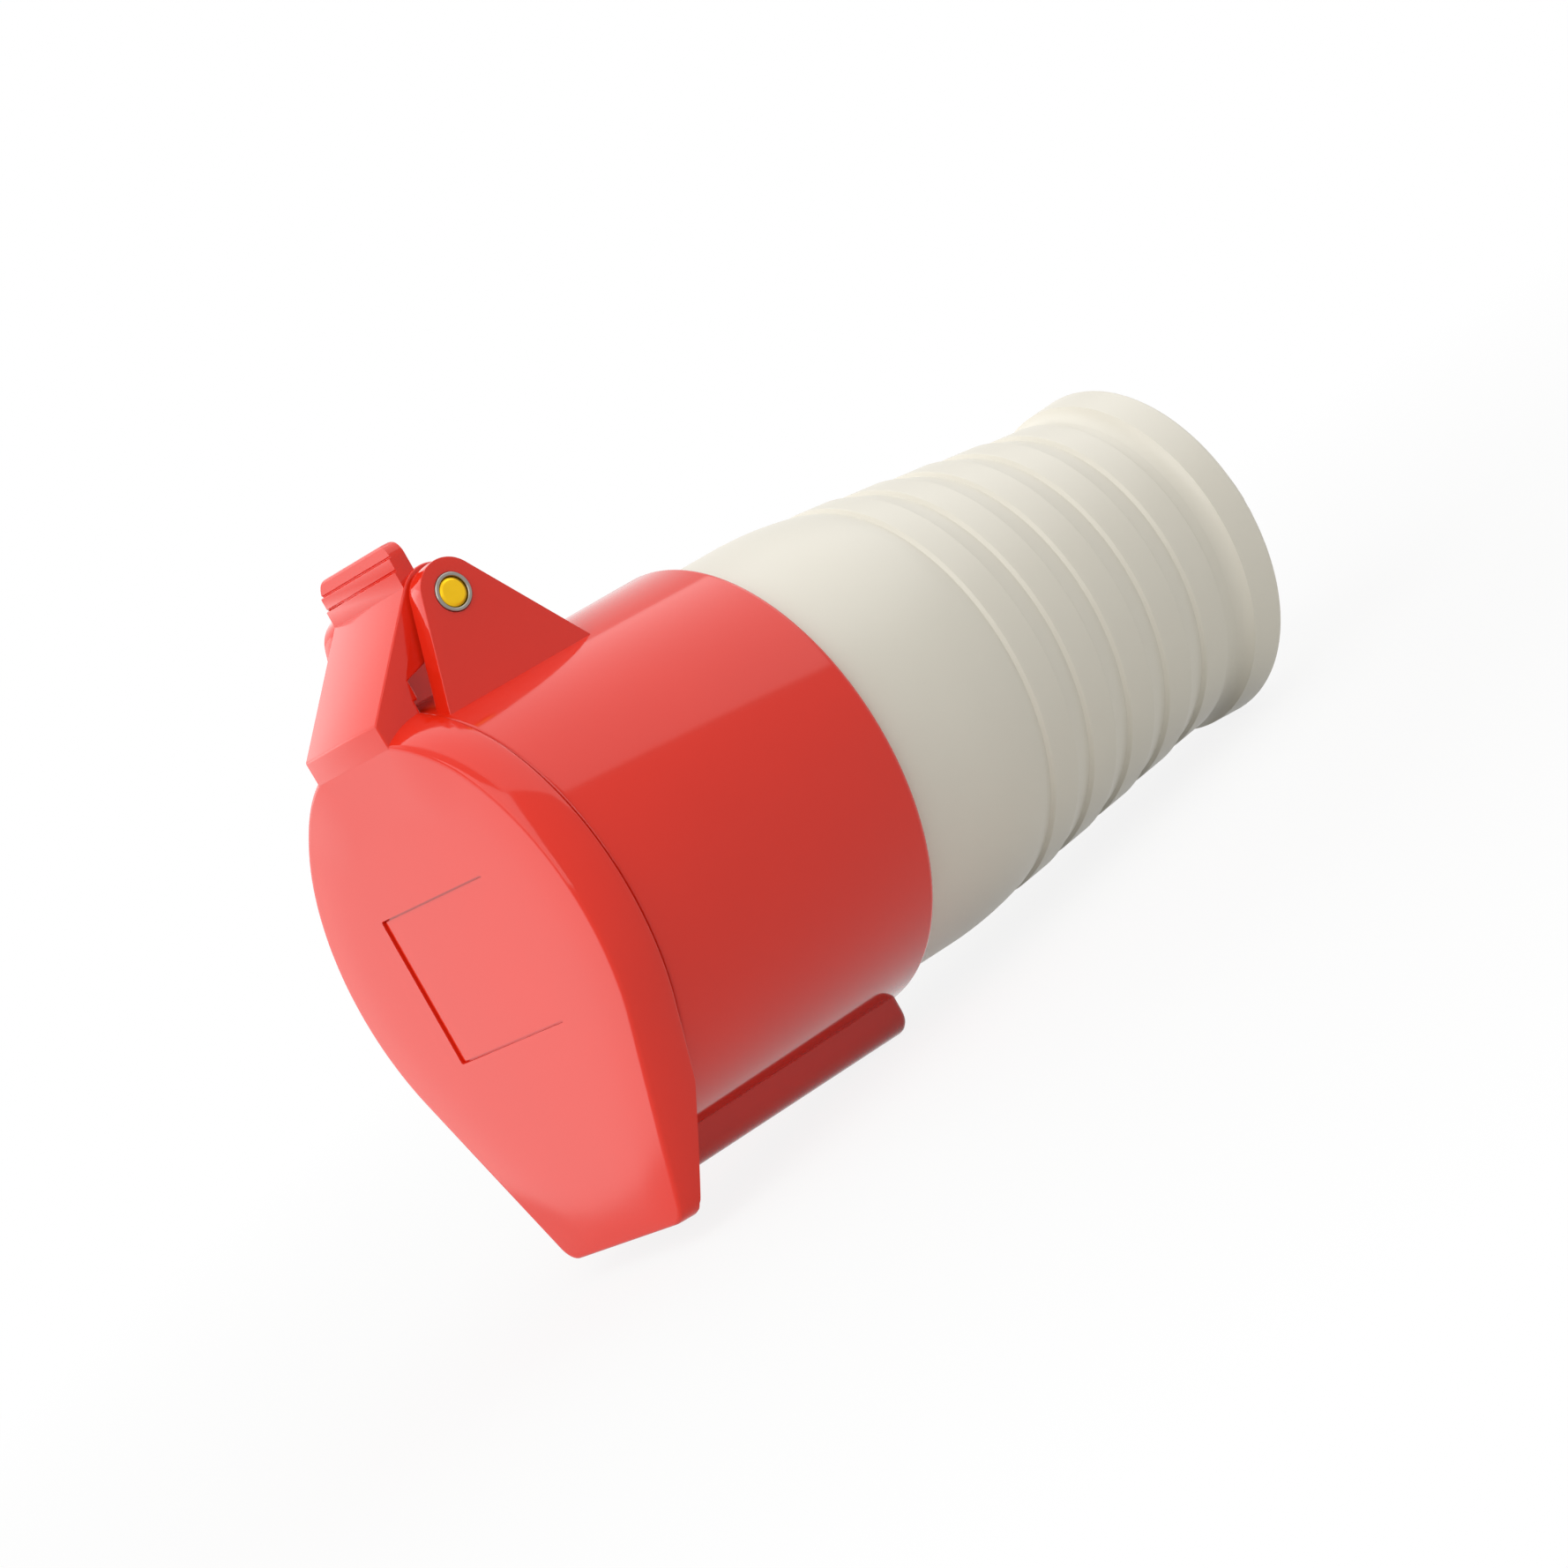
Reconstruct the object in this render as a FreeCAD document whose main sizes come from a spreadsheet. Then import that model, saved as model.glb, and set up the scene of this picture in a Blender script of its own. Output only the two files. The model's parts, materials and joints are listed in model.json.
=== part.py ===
import FreeCAD, Part
import math
import os
import re
import Sketcher

# Industrial cable coupler: a red hinged-lid collar with five female contacts, a grey grip handle and a
# screwed cable gland. Lengths are millimetres and angles are degrees.
# Every piece is drawn about the coupler's own axis: +Y runs from the lid to the cable, +Z points at the
# hinge, and Y = 0 is the front edge of the collar. A common placement then sets the whole coupler down on
# the rear of its key channel and the rim of its handle, which is how it rests on a bench.

DIMENSIONS = [
    # collar
    ("collar_radius", 37.0),
    ("collar_length", 51.1),
    ("collar_wall", 3.2),
    ("collar_edge_round", 1.2),
    ("spigot_depth", 10.8),
    ("seat_ledge", 2.3),
    ("seat_ledge_length", 3.0),
    ("fit_gap", 0.15),
    ("seam_gap", 0.3),
    # key channel under the collar
    ("key_half_width", 8.1),
    ("key_drop", 4.6),
    ("key_setback", 1.8),
    ("key_wall", 2.6),
    ("key_round", 3.0),
    # lid
    ("lid_overhang", 0.7),
    ("lid_taper", 2.2),
    ("lid_rim_depth", 7.5),
    ("panel_margin", 9.1),
    ("lid_crown", 0.9),
    ("lid_wall", 2.6),
    ("lid_edge_round", 1.3),
    ("tail_drop", 8.2),
    ("tail_angle", 26.8),
    ("tail_round", 4.0),
    ("tail_panel_margin", 4.9),
    ("tail_trim_height", 19.9),
    ("tail_trim_depth", 4.8),
    ("label_width", 31.7),
    ("label_height", 24.1),
    ("label_depth", 0.8),
    ("gasket_width", 2.6),
    # hinge
    ("hinge_rise", 11.5),
    ("hinge_setback", 11.8),
    ("ear_radius", 5.3),
    ("ear_outer", 15.9),
    ("ear_thickness", 3.7),
    ("ear_front", 0.6),
    ("ear_run", 18.1),
    ("bush_radius", 3.0),
    ("pin_radius", 2.25),
    ("pin_overhang", 0.25),
    ("running_gap", 0.08),
    ("block_half_width", 11.6),
    ("block_fold_rise", 0.3),
    ("block_notch_rise", 3.6),
    ("block_cheek", 2.2),
    ("block_skin", 1.9),
    ("knuckle_radius", 5.8),
    ("tab_half_width", 11.3),
    ("tab_lead", 4.2),
    ("tab_rise", 10.9),
    ("tab_thickness", 2.6),
    ("tab_corner", 2.5),
    ("rib_step", 0.5),
    ("rib_pitch", 2.1),
    ("spring_wire", 0.9),
    ("spring_radius", 3.1),
    ("spring_half_length", 3.6),
    ("spring_turns", 3),
    ("spring_leg", 11.0),
    # contacts and their insulators
    ("shroud_gap", 8.3),
    ("carrier_front", 3.0),
    ("face_thickness", 5.2),
    ("chamber_gap", 0.8),
    ("flange_thickness", 4.1),
    ("hub_inset", 3.5),
    ("hub_length", 8.9),
    ("circle_inset", 8.5),
    ("line_pin_radius", 2.5),
    ("earth_pin_radius", 3.5),
    ("contact_play", 0.05),
    ("mouth_play", 0.3),
    ("contact_wall", 1.5),
    ("contact_tail", 17.7),
    ("shoulder_length", 5.6),
    ("shoulder_step", 1.0),
    ("pin_depth", 26.0),
    ("wire_radius", 1.9),
    ("wire_depth", 14.0),
    ("slot_width", 0.8),
    ("slot_length", 14.0),
    ("ring_offset", 2.5),
    ("ring_width", 1.6),
    ("ring_inset", 0.5),
    ("terminal_screw_radius", 1.5),
    ("terminal_setback", 4.2),
    ("carrier_screw_radius", 2.0),
    ("carrier_screw_head", 3.5),
    # handle
    ("handle_inset", 2.2),
    ("handle_wall", 3.0),
    ("straight_length", 13.9),
    ("shoulder_run", 13.0),
    ("shoulder_drop", 1.42),
    ("ring_count", 5),
    ("ring_lead", 2.1),
    ("ring_pitch", 9.9),
    ("first_ring_drop", 1.55),
    ("ring_fall", 1.36),
    ("ring_step", 0.35),
    ("waist_drop", 8.3),
    ("rim_run", 6.5),
    ("rim_flare", 1.9),
    ("rim_length", 3.0),
    ("seal_setback", 5.9),
    ("seal_ring_radius", 0.85),
    # cable gland
    ("gland_depth", 25.0),
    ("gland_mouth_radius", 12.5),
    ("gland_radius", 17.0),
    ("gland_ledge", 3.0),
    ("gland_seal_length", 9.0),
    ("claw_length", 2.5),
    ("washer_thickness", 1.4),
    ("stack_gap", 0.3),
    ("cable_radius", 9.0),
    ("seal_bore_radius", 6.5),
    ("nut_radius", 20.4),
    ("nut_length", 6.4),
    ("nut_flutes", 12),
    ("flute_radius", 1.6),
    ("nut_edge", 1.2),
]

# Places and radii that follow from the sizes above, so that neighbours keep together when one size changes.
FOLLOWERS = [
    ("spigot_start", "collar_length - spigot_depth"),
    ("seat_start", "spigot_start - flange_thickness - 0.2"),
    ("key_reach", "collar_radius + key_drop"),
    ("key_length", "collar_length - key_setback"),
    ("lid_radius", "collar_radius + lid_overhang"),
    ("lid_face_radius", "lid_radius - lid_taper"),
    ("lid_panel_radius", "lid_face_radius - panel_margin"),
    ("tail_reach", "lid_radius + tail_drop"),
    ("tail_trim_start", "tail_reach - tail_trim_height"),
    ("hinge_height", "collar_radius + hinge_rise"),
    ("ear_back", "hinge_setback + ear_run"),
    ("block_fold_height", "collar_radius + block_fold_rise"),
    ("block_notch_height", "collar_radius + block_notch_rise"),
    ("tab_front", "hinge_setback - tab_lead"),
    ("tab_top", "hinge_height + tab_rise"),
    ("carrier_radius", "collar_radius - collar_wall - shroud_gap"),
    ("hub_radius", "carrier_radius - hub_inset"),
    ("contact_circle", "carrier_radius - circle_inset"),
    ("contact_front", "carrier_front + face_thickness + 0.3"),
    ("contact_end", "spigot_start + contact_tail"),
    ("ring_place", "contact_front + ring_offset"),
    ("handle_radius", "collar_radius - handle_inset"),
    ("shoulder_start", "collar_length + straight_length"),
    ("shoulder_end", "shoulder_start + shoulder_run"),
    ("ring_start", "shoulder_end + ring_lead"),
    ("first_ring_radius", "handle_radius - first_ring_drop"),
    ("waist_start", "shoulder_end + ring_count * ring_pitch"),
    ("waist_radius", "handle_radius - waist_drop"),
    ("rim_start", "waist_start + rim_run"),
    ("rim_radius", "waist_radius + rim_flare"),
    ("handle_end", "rim_start + rim_length"),
    ("seal_place", "collar_length - seal_setback"),
    ("gland_start", "handle_end - gland_depth"),
]

V = FreeCAD.Vector
CONTACT_NAMES = ["contact_earth", "contact_line_1", "contact_line_2", "contact_line_3", "contact_neutral"]

doc = FreeCAD.newDocument("cable_coupler")
dims = doc.addObject("Spreadsheet::Sheet", "dims")
named = [(alias, str(size)) for alias, size in DIMENSIONS] + [(alias, "=" + text) for alias, text in FOLLOWERS]
for row, (alias, content) in enumerate(named, start=1):
    dims.set("A%d" % row, alias)
    dims.set("B%d" % row, content)
    dims.setAlias("B%d" % row, alias)
worked_out = doc.addObject("Spreadsheet::Sheet", "worked_out")
doc.recompute()

ALIASES = {alias for alias, content in named}


def size(alias):
    """The value of one driving dimension."""
    return float(dims.get(alias))


def linked(text):
    """An expression in the sheet's words, with each word pointed at the sheet."""
    return re.sub(r"[a-z][a-z_0-9]*", lambda m: "dims." + m.group() if m.group() in ALIASES else m.group(), text)


def number(text):
    """The number that an expression in the sheet's words gives now."""
    worked_out.set("A1", "=" + linked(text))
    worked_out.recompute()
    return float(worked_out.get("A1"))


def origin_part(body, role):
    """One of a body's own origin planes or axes."""
    for feature in body.Origin.OriginFeatures:
        if feature.Role == role:
            return feature
    raise RuntimeError("no origin feature " + role)


def new_body(label):
    body = doc.addObject("PartDesign::Body", label)
    body.Label = label
    return body


def new_sketch(body, name, plane, offset="0"):
    """A sketch on one of the body's origin planes, moved along that plane's normal."""
    sketch = body.newObject("Sketcher::SketchObject", name)
    sketch.AttachmentSupport = [(origin_part(body, plane), "")]
    sketch.MapMode = "FlatFace"
    sketch.AttachmentOffset = FreeCAD.Placement(V(0, 0, number(offset)), FreeCAD.Rotation())
    sketch.setExpression("AttachmentOffset.Base.z", linked(offset))
    return sketch


def hold(sketch, kind, geometry, vertex, text):
    """Bind one coordinate of a sketch point to an expression."""
    index = sketch.addConstraint(Sketcher.Constraint(kind, -1, 1, geometry, vertex, number(text)))
    sketch.setExpression("Constraints[%d]" % index, linked(text))


def hold_radius(sketch, geometry, text):
    """Bind the radius of an arc or circle to an expression."""
    index = sketch.addConstraint(Sketcher.Constraint("Radius", geometry, number(text)))
    sketch.setExpression("Constraints[%d]" % index, linked(text))


def arc_through(here, there, radius, side, large):
    """A point on the arc from here to there whose centre lies left (1) or right (-1) of the way along."""
    chord = there - here
    left = V(-chord.y, chord.x, 0).normalize()
    rise = math.sqrt(max(radius ** 2 - (chord.Length / 2) ** 2, 0.0))
    centre = (here + there) * 0.5 + left * (rise * side)
    return centre + left * (radius * side * (1 if large else -1))


def draw_outline(sketch, corners):
    """A closed outline with every corner bound to the sheet.

    A corner is (across, up), or (across, up, radius, side, large) where an arc leads to the next corner.
    """
    places = [V(number(corner[0]), number(corner[1]), 0) for corner in corners]
    count = len(corners)
    starts = []
    ends = []
    for index, corner in enumerate(corners):
        here = places[index]
        there = places[(index + 1) % count]
        if len(corner) == 2:
            shape = Part.LineSegment(here, there)
        else:
            shape = Part.Arc(here, arc_through(here, there, number(corner[2]), corner[3], corner[4]), there)
        edge = sketch.addGeometry(shape, False)
        forward = sketch.getPoint(edge, 1).distanceToPoint(here) < sketch.getPoint(edge, 2).distanceToPoint(here)
        starts.append((edge, 1 if forward else 2))
        ends.append((edge, 2 if forward else 1))
    for index in range(count):
        sketch.addConstraint(Sketcher.Constraint("Coincident", *ends[index], *starts[(index + 1) % count]))
    for index, corner in enumerate(corners):
        hold(sketch, "DistanceX", *starts[index], corner[0])
        hold(sketch, "DistanceY", *starts[index], corner[1])
        if len(corner) > 2:
            hold_radius(sketch, starts[index][0], corner[2])


def draw_circle(sketch, across, up, radius):
    circle = sketch.addGeometry(Part.Circle(V(number(across), number(up), 0), V(0, 0, 1), number(radius)), False)
    hold(sketch, "DistanceX", circle, 3, across)
    hold(sketch, "DistanceY", circle, 3, up)
    hold_radius(sketch, circle, radius)


def turned(body, name, corners, kind="PartDesign::Revolution"):
    """Turn an outline of (along the axis, radius) corners about the coupler's axis."""
    sketch = new_sketch(body, name + "_outline", "YZ_Plane")
    draw_outline(sketch, corners)
    feature = body.newObject(kind, name)
    feature.Profile = sketch
    feature.ReferenceAxis = (origin_part(body, "Y_Axis"), [""])
    feature.Angle = 360
    doc.recompute()
    return feature


def prism(body, name, plane, offset, length, draw, cut=False, reverse=False):
    """Pad or pocket a sketch that draw() fills, from offset along the plane's normal, by length."""
    sketch = new_sketch(body, name + "_outline", plane, offset)
    draw(sketch)
    feature = body.newObject("PartDesign::Pocket" if cut else "PartDesign::Pad", name)
    feature.Profile = sketch
    feature.Length = number(length)
    feature.setExpression("Length", linked(length))
    # A pad runs along the plane's normal and a pocket against it, so a cut is turned round to match.
    feature.Reversed = reverse != cut
    before = feature.BaseFeature.Shape.Volume if feature.BaseFeature else 0.0
    doc.recompute()
    grown = feature.Shape.Volume - before
    if (grown >= 0) if cut else (grown <= 0):
        raise RuntimeError("%s changes the volume by %.3f" % (name, grown))
    return feature


def repeated(body, name, feature, kind, **settings):
    """A pattern or mirror of a feature, left as the body's tip."""
    pattern = body.newObject(kind, name)
    pattern.Originals = [feature]
    for key, setting in settings.items():
        setattr(pattern, key, setting)
    body.Tip = pattern
    doc.recompute()
    return pattern


def rounded(body, name, base, edges, radius):
    """Round the listed edges of a feature."""
    if not edges:
        raise RuntimeError("no edges for " + name)
    fillet = body.newObject("PartDesign::Fillet", name)
    fillet.Base = (base, edges)
    fillet.Radius = number(radius)
    fillet.setExpression("Radius", linked(radius))
    doc.recompute()
    return fillet


def edges_where(feature, wanted):
    """Names of the feature's edges whose every vertex passes a test."""
    return ["Edge%d" % number_ for number_, edge in enumerate(feature.Shape.Edges, start=1)
            if edge.Vertexes and all(wanted(vertex.Point) for vertex in edge.Vertexes)]


def near(a, b):
    return abs(a - b) < 0.01


def draw_horn(sketch, across, up, radius, foot_front, foot_back, foot_up):
    """A round-topped lug: two slopes that run tangent into an arc about (across, up)."""
    centre = V(number(across), number(up), 0)
    reach = number(radius)
    feet = [V(number(foot_front), number(foot_up), 0), V(number(foot_back), number(foot_up), 0)]
    touch = []
    for foot, side in zip(feet, (1, -1)):
        away = foot - centre
        swing = math.acos(reach / away.Length) * side
        heading = math.atan2(away.y, away.x) - swing
        touch.append(centre + V(math.cos(heading), math.sin(heading), 0) * reach)
    arc = sketch.addGeometry(Part.Arc(touch[0], centre + V(0, reach, 0), touch[1]), False)
    first, last = (1, 2) if sketch.getPoint(arc, 1).distanceToPoint(touch[0]) < 1e-6 else (2, 1)
    front = sketch.addGeometry(Part.LineSegment(feet[0], touch[0]), False)
    back = sketch.addGeometry(Part.LineSegment(touch[1], feet[1]), False)
    foot = sketch.addGeometry(Part.LineSegment(feet[1], feet[0]), False)
    sketch.addConstraint(Sketcher.Constraint("Tangent", front, 2, arc, first))
    sketch.addConstraint(Sketcher.Constraint("Tangent", back, 1, arc, last))
    sketch.addConstraint(Sketcher.Constraint("Coincident", back, 2, foot, 1))
    sketch.addConstraint(Sketcher.Constraint("Coincident", foot, 2, front, 1))
    hold(sketch, "DistanceX", arc, 3, across)
    hold(sketch, "DistanceY", arc, 3, up)
    hold_radius(sketch, arc, radius)
    hold(sketch, "DistanceX", front, 1, foot_front)
    hold(sketch, "DistanceY", front, 1, foot_up)
    hold(sketch, "DistanceX", back, 2, foot_back)
    hold(sketch, "DistanceY", back, 2, foot_up)


def along_axis(body, name, start, length, draw, cut=False):
    """A pad or pocket that runs along +Y from start; its sketch is seen from the front, X across and Z up."""
    return prism(body, name, "XZ_Plane", "-(%s)" % start, length, draw, cut, reverse=True)


def box_outline(half_width, low, high):
    """A plain rectangle, centred across."""
    return [("-(%s)" % half_width, low), (half_width, low), (half_width, high), ("-(%s)" % half_width, high)]


def contact_place(index):
    """Where contact number index sits, seen from the front; number 0 is the earth, over the keyway."""
    turn = 360 * index / len(CONTACT_NAMES)
    return "contact_circle * sin(%g)" % turn, "-contact_circle * cos(%g)" % turn


def pin_radius_of(index):
    return "earth_pin_radius" if index == 0 else "line_pin_radius"


def draw_contact_circles(sketch, growth):
    """One circle for each contact, wider than its pin by growth."""
    for index in range(len(CONTACT_NAMES)):
        across, up = contact_place(index)
        draw_circle(sketch, across, up, "%s + %s" % (pin_radius_of(index), growth))


# Collar

BORE = "collar_radius - collar_wall"


def make_collar():
    body = new_body("front_collar")
    inner = BORE + " - seat_ledge - 1"
    turned(body, "shell", [
        ("0", inner),
        ("0", "collar_radius"),
        ("collar_length - collar_edge_round", "collar_radius", "collar_edge_round", -1, False),
        ("collar_length", "collar_radius - collar_edge_round"),
        ("collar_length", inner),
    ])

    def channel(sketch):
        low = "-key_reach"
        draw_outline(sketch, [
            ("-key_half_width", "-(%s)" % inner),
            ("-key_half_width", low + " + key_round", "key_round", 1, False),
            ("-key_half_width + key_round", low),
            ("key_half_width - key_round", low, "key_round", 1, False),
            ("key_half_width", low + " + key_round"),
            ("key_half_width", "-(%s)" % inner),
        ])

    rib = along_axis(body, "key_channel", "0", "key_length", channel)
    rear = size("key_length")
    under = -size("collar_radius") + 0.5
    rounded(body, "key_channel_round", rib,
            edges_where(rib, lambda p: near(p.y, rear) and p.z < under), "key_round / 2")

    def ear(sketch):
        draw_horn(sketch, "hinge_setback", "hinge_height", "ear_radius", "ear_front", "ear_back",
                  "sqrt((collar_radius - collar_wall / 2)^2 - ear_outer^2)")

    lug = prism(body, "hinge_ear", "YZ_Plane", "ear_outer - ear_thickness", "ear_thickness", ear)
    repeated(body, "hinge_ears", lug, "PartDesign::Mirrored",
             MirrorPlane=(origin_part(body, "YZ_Plane"), [""]))
    prism(body, "bush_holes", "YZ_Plane", "-ear_outer - 1", "2 * ear_outer + 2",
          lambda sketch: draw_circle(sketch, "hinge_setback", "hinge_height", "bush_radius + fit_gap / 2"), cut=True)
    turned(body, "inside", [
        ("-1", "collar_radius / 2"),
        ("-1", BORE),
        ("seat_start - seat_ledge_length", BORE),
        ("seat_start - seat_ledge_length", BORE + " - seat_ledge"),
        ("seat_start", BORE + " - seat_ledge"),
        ("seat_start", BORE),
        ("spigot_start", BORE),
        ("spigot_start", "handle_radius + fit_gap"),
        ("collar_length + 1", "handle_radius + fit_gap"),
        ("collar_length + 1", "collar_radius / 2"),
    ], kind="PartDesign::Groove")
    along_axis(body, "keyway", "-1", "seat_start - 0.5",
               lambda sketch: draw_outline(sketch, box_outline("key_half_width - key_wall",
                                                               "-key_reach + key_wall",
                                                               "-collar_radius / 2")), cut=True)
    return body


# Contacts and their carrier

def spin(index):
    """The turn about the coupler's axis that carries contact 0 to contact index."""
    return FreeCAD.Placement(V(0, 0, 0), FreeCAD.Rotation(V(0, 1, 0), -360 * index / len(CONTACT_NAMES)))


def linked_primitive(kind, name, settings):
    """A Part primitive whose sizes are bound to the sheet."""
    shape = doc.addObject(kind, name)
    for key, text in settings.items():
        shape.setExpression(key, linked(text))
    return shape


def place(shape, across, along, up, rotation=None):
    """Bind a primitive's position to the sheet."""
    shape.Placement = FreeCAD.Placement(V(0, 0, 0), rotation or FreeCAD.Rotation())
    for axis, text in zip("xyz", (across, along, up)):
        shape.setExpression("Placement.Base." + axis, linked(text))
    return shape


ALONG_Y = FreeCAD.Rotation(V(1, 0, 0), -90)
ALONG_X = FreeCAD.Rotation(V(0, 1, 0), 90)
DOWN = FreeCAD.Rotation(V(1, 0, 0), 180)


def cut_of(label, base, tool):
    result = doc.addObject("Part::Cut", label)
    result.Base = base
    result.Tool = tool
    result.Label = label
    return result


def group_of(label, members):
    result = doc.addObject("Part::Compound", label)
    result.Links = members
    result.Label = label
    return result


SCREW_SEAT = "carrier_front + carrier_screw_head"
FACE_END = "carrier_front + face_thickness"
FLANGE_START = "seat_start + 0.1"
RETAINER_END = "spigot_start + hub_length"


def make_face():
    """The face plate of the insert, with a mouth for each plug pin and a seat for the clamping screw."""
    body = new_body("contact_face")
    turned(body, "plate", [
        ("carrier_front", "carrier_screw_head + 0.25"),
        ("carrier_front", "carrier_radius - 1"),
        ("carrier_front + 1", "carrier_radius"),
        (FACE_END, "carrier_radius"),
        (FACE_END, "carrier_screw_radius + 0.25"),
        (SCREW_SEAT, "carrier_screw_radius + 0.25"),
        (SCREW_SEAT, "carrier_screw_head + 0.25"),
    ])
    along_axis(body, "pin_mouths", "carrier_front - 1", "face_thickness + 2",
               lambda sketch: draw_contact_circles(sketch, "mouth_play"), cut=True)
    return body


def make_chambers():
    """Five insulating chambers round the clamping screw, one for each contact, like slices of a cake."""
    chambers = []
    share = 360 / len(CONTACT_NAMES)
    for index in range(len(CONTACT_NAMES)):
        slice_ = linked_primitive("Part::Cylinder", "chamber_slice_%d" % index,
                                  {"Radius": "carrier_radius", "Height": "seat_start - (%s) - 0.1" % FACE_END,
                                   "Angle": "%g - chamber_gap" % share})
        side = 90 - number("%g - chamber_gap" % share) / 2
        place(slice_, "0", FACE_END + " + 0.1", "0", ALONG_Y.multiply(FreeCAD.Rotation(V(0, 0, 1), side)))
        bore = linked_primitive("Part::Cylinder", "chamber_bore_%d" % index,
                                {"Radius": pin_radius_of(index) + " + contact_wall + 0.1", "Height": "seat_start"})
        place(bore, "0", "carrier_front", "-contact_circle", ALONG_Y)
        core = linked_primitive("Part::Cylinder", "chamber_core_%d" % index,
                                {"Radius": "carrier_screw_radius + 0.25", "Height": "seat_start"})
        place(core, "0", "carrier_front", "0", ALONG_Y)
        bored = cut_of("chamber_bored_%d" % index, slice_, bore)
        chamber = cut_of("chamber_%d" % index, bored, core)
        chamber.Placement = spin(index)
        chambers.append(chamber)
    return group_of("contact_chambers", chambers)


def make_carrier():
    """The flanged plate that seats on the collar's ledge and carries the insert."""
    body = new_body("contact_carrier")
    turned(body, "plate", [
        (FLANGE_START, "carrier_screw_radius + 0.25"),
        (FLANGE_START, BORE + " - fit_gap"),
        (FLANGE_START + " + flange_thickness", BORE + " - fit_gap"),
        (FLANGE_START + " + flange_thickness", "carrier_screw_radius + 0.25"),
    ])
    along_axis(body, "barrel_holes", FLANGE_START + " - 1", "flange_thickness + 2",
               lambda sketch: draw_contact_circles(sketch, "contact_wall + 0.1"), cut=True)
    return body


def make_retainer():
    """The block behind the flange that traps each contact's shoulder and takes the clamping screw."""
    body = new_body("contact_retainer")
    turned(body, "block", [
        ("spigot_start", "carrier_screw_radius + 0.05"),
        ("spigot_start", "hub_radius"),
        (RETAINER_END, "hub_radius"),
        (RETAINER_END, "carrier_screw_radius + 0.05"),
    ])
    along_axis(body, "barrel_holes", "spigot_start - 1", "hub_length + 2",
               lambda sketch: draw_contact_circles(sketch, "contact_wall + 0.1"), cut=True)
    along_axis(body, "shoulder_seats", "spigot_start - 1", "shoulder_length + 1.2",
               lambda sketch: draw_contact_circles(sketch, "contact_wall + shoulder_step + 0.1"), cut=True)
    return body


def make_retainer_screw():
    """The slotted screw that clamps face plate, chambers, flange and retainer together."""
    body = new_body("retainer_screw")
    seat = SCREW_SEAT + " - 0.2"
    along_axis(body, "head", "carrier_front + 0.8", seat + " - carrier_front - 0.8",
               lambda sketch: draw_circle(sketch, "0", "0", "carrier_screw_head"))
    along_axis(body, "shank", seat, RETAINER_END + " - 0.2 - (%s)" % seat,
               lambda sketch: draw_circle(sketch, "0", "0", "carrier_screw_radius"))
    along_axis(body, "driver_slot", "carrier_front", "2",
               lambda sketch: draw_outline(sketch, box_outline("0.5", "-carrier_screw_head - 1",
                                                               "carrier_screw_head + 1")), cut=True)
    return body


TERMINAL = "contact_end - terminal_setback"


def make_contact(index):
    """One slotted sleeve, drawn where the earth sits; its placement turns it to its own position."""
    pin = pin_radius_of(index)
    outer = pin + " + contact_wall"
    body = new_body(CONTACT_NAMES[index])

    def circle(radius):
        return lambda sketch: draw_circle(sketch, "0", "-contact_circle", radius)

    along_axis(body, "sleeve", "contact_front", "contact_end - contact_front", circle(outer))
    along_axis(body, "shoulder", "spigot_start + 0.1", "shoulder_length - 0.1", circle(outer + " + shoulder_step"))
    along_axis(body, "pin_bore", "contact_front - 1", "pin_depth + 1", circle(pin + " + contact_play"), cut=True)
    along_axis(body, "wire_bore", "contact_end - wire_depth", "wire_depth + 1", circle("wire_radius"), cut=True)
    long_side = outer + " + 1"
    along_axis(body, "slot_up", "contact_front - 1", "slot_length + 1",
               lambda sketch: draw_outline(sketch, box_outline("slot_width / 2", "-contact_circle - (%s)" % long_side,
                                                               "-contact_circle + %s" % long_side)), cut=True)
    along_axis(body, "slot_across", "contact_front - 1", "slot_length + 1",
               lambda sketch: draw_outline(sketch, box_outline(long_side, "-contact_circle - slot_width / 2",
                                                               "-contact_circle + slot_width / 2")), cut=True)
    along_axis(body, "ring_seat", "ring_place", "ring_width", lambda sketch: (
        draw_circle(sketch, "0", "-contact_circle", outer + " + 1"),
        draw_circle(sketch, "0", "-contact_circle", outer + " - ring_inset")), cut=True)
    prism(body, "terminal_hole", "XY_Plane", "-contact_circle - (%s) - 1" % outer, outer + " + 1",
          lambda sketch: draw_circle(sketch, "0", TERMINAL, "terminal_screw_radius + 0.1"), cut=True)
    return body


def make_spring_rings():
    """The steel ring that squeezes each slotted sleeve; one piece of wire strip per contact."""
    rings = []
    for index in range(len(CONTACT_NAMES)):
        across, up = contact_place(index)
        outer = pin_radius_of(index) + " + contact_wall"
        disc = linked_primitive("Part::Cylinder", "ring_disc_%d" % index,
                                {"Radius": outer, "Height": "ring_width - 0.2"})
        hole = linked_primitive("Part::Cylinder", "ring_hole_%d" % index,
                                {"Radius": outer + " - ring_inset + 0.05", "Height": "ring_width"})
        place(disc, across, "ring_place + 0.1", up, ALONG_Y)
        place(hole, across, "ring_place", up, ALONG_Y)
        rings.append(cut_of("spring_ring_%d" % index, disc, hole))
    return group_of("contact_spring_rings", rings)


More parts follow.
